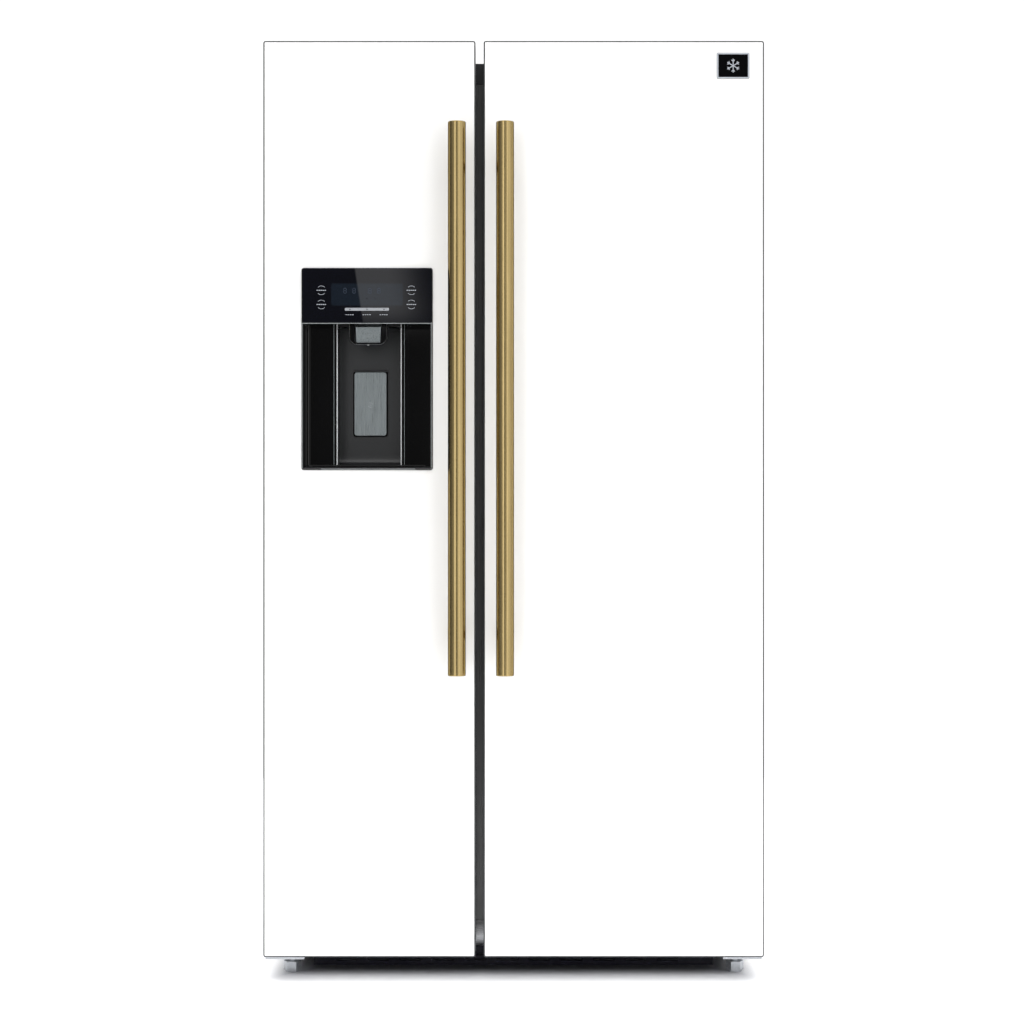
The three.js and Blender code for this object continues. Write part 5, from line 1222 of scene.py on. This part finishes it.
def studio_floor(stage):
    """A round white floor, 5.2 metres across, that the white background takes over from. It is lit from
    below, as a light table, everywhere but under the cabinet, where it is painted grey as a shadow."""
    points, quads, caps = revolve([(2.6, 0.0), (2.6, -0.01)], (0, 0, 0), "z", 96)
    mesh = bpy.data.meshes.new("studio_floor")
    mesh.from_pydata(points.tolist(), [], quads.tolist() + caps)
    floor = bpy.data.objects.new("studio_floor", mesh)
    bpy.context.scene.collection.objects.link(floor)
    sockets = {"Roughness": 0.7, "Emission Color": (1, 1, 1, 1)}
    made, tree, shader = material("studio_white_floor", linear("#f7f7f9"), sockets)
    place = add(tree, "ShaderNodeTexCoord").outputs["Object"]
    part = add(tree, "ShaderNodeSeparateXYZ", {"Vector": place}).outputs
    reach = []
    for name, half in (("X", stage.glow_edge[0]), ("Y", stage.glow_edge[1])):
        size = add(tree, "ShaderNodeMath", {0: part[name]}, operation="ABSOLUTE").outputs[0]
        reach.append(add(tree, "ShaderNodeMath", {0: size, 1: half}, operation="SUBTRACT").outputs[0])
    beyond = add(tree, "ShaderNodeMath", {0: reach[0], 1: reach[1]}, operation="MAXIMUM").outputs[0]
    sockets = {"Value": beyond, "From Min": -0.055, "From Max": 0.02, "To Min": 0.0}
    sockets["To Max"] = stage.floor_glow
    glow = add(tree, "ShaderNodeMapRange", sockets, interpolation_type="SMOOTHSTEP").outputs["Result"]
    tree.links.new(glow, shader.inputs["Emission Strength"])
    # Painted shadow: the floor's colour turns grey under the cabinet, fading to white over 8 cm up to the
    # glow's edge.
    sockets = {"Value": beyond, "From Min": -0.08, "From Max": 0.0, "To Min": 0.0, "To Max": 1.0}
    lit = add(tree, "ShaderNodeMapRange", sockets, interpolation_type="SMOOTHSTEP").outputs["Result"]
    tint(tree, shader, lit, linear("#66666f"), linear("#f7f7f9"))
    mesh.materials.append(made)


def camera(stage):
    """A level camera in front of the doors, a 70 mm lens on a 36 mm frame."""
    lens = bpy.data.cameras.new("camera")
    lens.lens = stage.lens
    lens.sensor_width = 36
    lens.dof.use_dof = False
    seat = bpy.data.objects.new("camera", lens)
    seat.location = (stage.camera_side, -stage.camera_distance, stage.camera_height)
    seat.rotation_euler = (QUARTER, 0, 0)
    bpy.context.scene.collection.objects.link(seat)
    bpy.context.scene.camera = seat


# ---------------------------------------------------------------- settings


def length(label, text, default):
    """A length in metres that a user may change."""
    return FloatProperty(
        name=label, description=text, default=default, min=0, unit="LENGTH", subtype="DISTANCE"
    )


def paint(label, text, default):
    """A colour that a user may change, given as sRGB hex."""
    return FloatVectorProperty(
        name=label, description=text, default=linear(default), size=3, min=0, max=1, subtype="COLOR"
    )


class RefrigeratorSizes(bpy.types.PropertyGroup):
    """Lengths of the details that Blender makes."""

    edge_line: length("Edge line", "Width of the dark metal line round each door", 0.0022)
    door_corner: length("Door corner", "Radius of the glass's corners", 0.0018)
    glass_edge: length("Glass edge", "Fillet along the glass's front edge", 0.0007)
    handle_edge: length("Handle edge", "Radius at the ends of the handle bars", 0.0016)
    post_radius: length("Post radius", "Radius of the handle posts", 0.008)
    post_inset: length("Post inset", "Handle posts from the ends of the bar", 0.070)
    bezel: length("Dispenser rim", "Width of the rim round the dispenser", 0.0055)
    recess_depth: length("Recess depth", "Depth of the dispenser's channel", 0.092)
    paddle_pocket: length("Paddle pocket", "Depth of the pocket that the paddle swings into", 0.028)
    wing_depth: length("Wing depth", "Depth of the recess beside the channel", 0.053)
    channel_half: length("Channel half width", "Half the width of the channel", 0.0585)
    print_lift: length("Print lift", "How far the printed marks stand off the glass", 0.00012)
    badge_inset: length("Badge inset", "Badge from the door's outer side", 0.0268)


class RefrigeratorColours(bpy.types.PropertyGroup):
    """Colours of the finishes."""

    glass: paint("Glass", "White paint behind the door glass", "#fcfcfb")
    steel: paint("Cabinet", "Powder coat of the cabinet and door sides", "#dfe1e2")
    edge: paint("Edge line", "Anodised line round the doors", "#4e5052")
    liner: paint("Liner", "Vacuum-formed plastic inside", "#eef0f1")
    clear: paint("Clear plastic", "Bins and drawers", "#f2f8fa")
    seal: paint("Seal", "Door seals", "#b9bcbf")
    zinc: paint("Zinc", "Plated brackets and feet", "#b6b9bd")
    brass: paint("Brass", "Handles", "#a89466")
    black: paint("Gloss black", "Dispenser", "#0a0a0c")
    panel: paint("Control glass", "Printed black of the control panel", "#05060d")


class RefrigeratorStage(bpy.types.PropertyGroup):
    """Light and camera."""

    room_light: FloatProperty(name="Room light", description="Brightness of the studio's walls", default=1.70)
    top_light: FloatProperty(name="Top light", description="Brightness of the studio's ceiling", default=3.4)
    patch_light: FloatProperty(name="Soft box", description="Brightness of the small soft box", default=1.5)
    floor_glow: FloatProperty(name="Floor glow", description="Light the floor adds of its own", default=0.22)
    glow_edge: FloatVectorProperty(
        name="Glow edge", description="Half width and depth that the floor's light leaves out", size=2,
        default=(0.445, 0.27), unit="LENGTH",
    )
    lens: FloatProperty(name="Lens", description="Focal length in millimetres", default=70.0)
    camera_distance: length("Camera distance", "Camera in front of the origin", 3.935)
    camera_height: length("Camera height", "Camera above the floor", 0.856)
    camera_side: FloatProperty(
        name="Camera side", description="Camera to the right of the middle", default=-0.003, unit="LENGTH"
    )


# ---------------------------------------------------------------- operators


class MakeFinishes(bpy.types.Operator):
    """Makes every finish and gives the frame's nodes theirs"""

    bl_idname = "refrigerator.finishes"
    bl_label = "Finishes"

    def execute(self, context):
        FINISHES.update(make_finishes(context.scene.refrigerator_colours))
        for node, slot in PLAIN_NODES.items():
            NODES[node].data.materials.clear()
            NODES[node].data.materials.append(FINISHES[slot])
        return {"FINISHED"}


class MakeDoorFronts(bpy.types.Operator):
    """Makes the two glass fronts and the dark line round each"""

    bl_idname = "refrigerator.door_fronts"
    bl_label = "Door fronts"

    def execute(self, context):
        sizes = context.scene.refrigerator_sizes
        door_front(sizes, LEFT, "freezer_door_panel", dispenser_hole())
        door_front(sizes, RIGHT, "fridge_door_panel")
        return {"FINISHED"}


class MakeHandles(bpy.types.Operator):
    """Makes the two bar handles on their posts"""

    bl_idname = "refrigerator.handles"
    bl_label = "Handles"

    def execute(self, context):
        sizes = context.scene.refrigerator_sizes
        handle(sizes, LEFT, "freezer_handle")
        handle(sizes, RIGHT, "fridge_handle")
        return {"FINISHED"}


class MakeSeals(bpy.types.Operator):
    """Makes the magnetic seal of each door"""

    bl_idname = "refrigerator.seals"
    bl_label = "Seals"

    def execute(self, context):
        gasket(LEFT, "freezer_door_gasket")
        gasket(RIGHT, "fridge_door_gasket")
        return {"FINISHED"}


class MakeBadge(bpy.types.Operator):
    """Makes the plain badge with its snowflake"""

    bl_idname = "refrigerator.badge"
    bl_label = "Badge"

    def execute(self, context):
        badge(context.scene.refrigerator_sizes)
        return {"FINISHED"}


class MakeRecess(bpy.types.Operator):
    """Makes the dispenser's rim, channel, lining, beads, tray and painted highlight lines"""

    bl_idname = "refrigerator.recess"
    bl_label = "Dispenser recess"

    def execute(self, context):
        sizes = context.scene.refrigerator_sizes
        dispenser_rim(sizes)
        dispenser_channel(sizes)
        dispenser_lining(sizes)
        dispenser_beads(sizes)
        drip_tray()
        dispenser_painted_highlights(sizes)
        return {"FINISHED"}


class MakeControlPanel(bpy.types.Operator):
    """Makes the control glass, its display and its printed marks"""

    bl_idname = "refrigerator.control_panel"
    bl_label = "Control panel"

    def execute(self, context):
        sizes = context.scene.refrigerator_sizes
        display(sizes)
        touch_rings(sizes)
        level_bar(sizes)
        return {"FINISHED"}


class MakeNozzle(bpy.types.Operator):
    """Makes the outlet's sleeve and its black surround"""

    bl_idname = "refrigerator.nozzle"
    bl_label = "Nozzle"

    def execute(self, context):
        nozzle()
        return {"FINISHED"}


class MakePaddle(bpy.types.Operator):
    """Makes the push paddle, its pin and its mark"""

    bl_idname = "refrigerator.paddle"
    bl_label = "Paddle"

    def execute(self, context):
        paddle()
        return {"FINISHED"}


class MakeShelves(bpy.types.Operator):
    """Makes the glass shelves with their trims and rails"""

    bl_idname = "refrigerator.shelves"
    bl_label = "Shelves"

    def execute(self, context):
        for node in NODES:
            if "_shelf_" in node:
                shelf(node)
        return {"FINISHED"}


class MakeAirVents(bpy.types.Operator):
    """Makes the air channel and the air slots of both compartments"""

    bl_idname = "refrigerator.air_vents"
    bl_label = "Air vents"

    def execute(self, context):
        air_vents()
        return {"FINISHED"}


class MakeLamps(bpy.types.Operator):
    """Makes the lamp covers in the ceilings"""

    bl_idname = "refrigerator.lamps"
    bl_label = "Ceiling lamps"

    def execute(self, context):
        ceiling_lamps()
        return {"FINISHED"}


class MakeIceArm(bpy.types.Operator):
    """Makes the ice maker's wire arm"""

    bl_idname = "refrigerator.ice_arm"
    bl_label = "Ice level arm"

    def execute(self, context):
        ice_level_arm()
        return {"FINISHED"}


class MakeBins(bpy.types.Operator):
    """Makes the added door bins and the lips of all the bins"""

    bl_idname = "refrigerator.bins"
    bl_label = "Door bins"

    def execute(self, context):
        more_bins()
        return {"FINISHED"}


class MakeDrawerPulls(bpy.types.Operator):
    """Makes the white pull along each drawer's front"""

    bl_idname = "refrigerator.drawer_pulls"
    bl_label = "Drawer pulls"

    def execute(self, context):
        drawer_trims()
        return {"FINISHED"}


class MakeRearScrews(bpy.types.Operator):
    """Makes the screw heads of the back"""

    bl_idname = "refrigerator.rear_screws"
    bl_label = "Rear screws"

    def execute(self, context):
        rear_screws()
        return {"FINISHED"}


class MakeRidges(bpy.types.Operator):
    """Makes the ridges pressed in the back and the top"""

    bl_idname = "refrigerator.ridges"
    bl_label = "Pressed ridges"

    def execute(self, context):
        pressed_ridges()
        return {"FINISHED"}


class MakeShells(bpy.types.Operator):
    """Rounds the edges of the sheet metal and moulded pieces"""

    bl_idname = "refrigerator.shells"
    bl_label = "Shells and mouldings"

    def execute(self, context):
        for node, (slot, radius, *finish) in SOFT_NODES.items():
            softened(node, radius, slot, *finish)
        return {"FINISHED"}


class MakeStage(bpy.types.Operator):
    """Makes the floor, the studio light and the camera"""

    bl_idname = "refrigerator.stage"
    bl_label = "Stage"

    def execute(self, context):
        stage = context.scene.refrigerator_stage
        studio_light(stage)
        studio_floor(stage)
        camera(stage)
        context.scene.view_settings.view_transform = "Standard"
        return {"FINISHED"}


OPERATORS = (
    MakeStage,
    MakeFinishes,
    MakeDoorFronts,
    MakeHandles,
    MakeSeals,
    MakeBadge,
    MakeRecess,
    MakeControlPanel,
    MakeNozzle,
    MakePaddle,
    MakeShelves,
    MakeAirVents,
    MakeLamps,
    MakeIceArm,
    MakeBins,
    MakeDrawerPulls,
    MakeRearScrews,
    MakeRidges,
    MakeShells,
)


class RefrigeratorPanel(bpy.types.Panel):
    """Lists the sizes, the colours and the operators"""

    bl_idname = "VIEW3D_PT_refrigerator"
    bl_label = "Refrigerator"
    bl_space_type = "VIEW_3D"
    bl_region_type = "UI"
    bl_category = "Refrigerator"

    def draw(self, context):
        for group in ("refrigerator_sizes", "refrigerator_colours", "refrigerator_stage"):
            values = getattr(context.scene, group)
            for name in values.__annotations__:
                self.layout.prop(values, name)
        for operator in OPERATORS:
            self.layout.operator(operator.bl_idname)


GROUPS = {
    "refrigerator_sizes": RefrigeratorSizes,
    "refrigerator_colours": RefrigeratorColours,
    "refrigerator_stage": RefrigeratorStage,
}


def register():
    """Registers the classes and hangs the settings on the scene."""
    for kind in (*GROUPS.values(), *OPERATORS, RefrigeratorPanel):
        bpy.utils.register_class(kind)
    for name, kind in GROUPS.items():
        setattr(bpy.types.Scene, name, PointerProperty(type=kind))


def unregister():
    """Takes the settings and the classes away again."""
    for name in GROUPS:
        delattr(bpy.types.Scene, name)
    for kind in (RefrigeratorPanel, *OPERATORS[::-1], *GROUPS.values()):
        bpy.utils.unregister_class(kind)


def main():
    """Registers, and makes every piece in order."""
    register()
    for operator in OPERATORS:
        getattr(bpy.ops.refrigerator, operator.bl_idname.split(".")[1])()


if __name__ == "__main__":
    main()
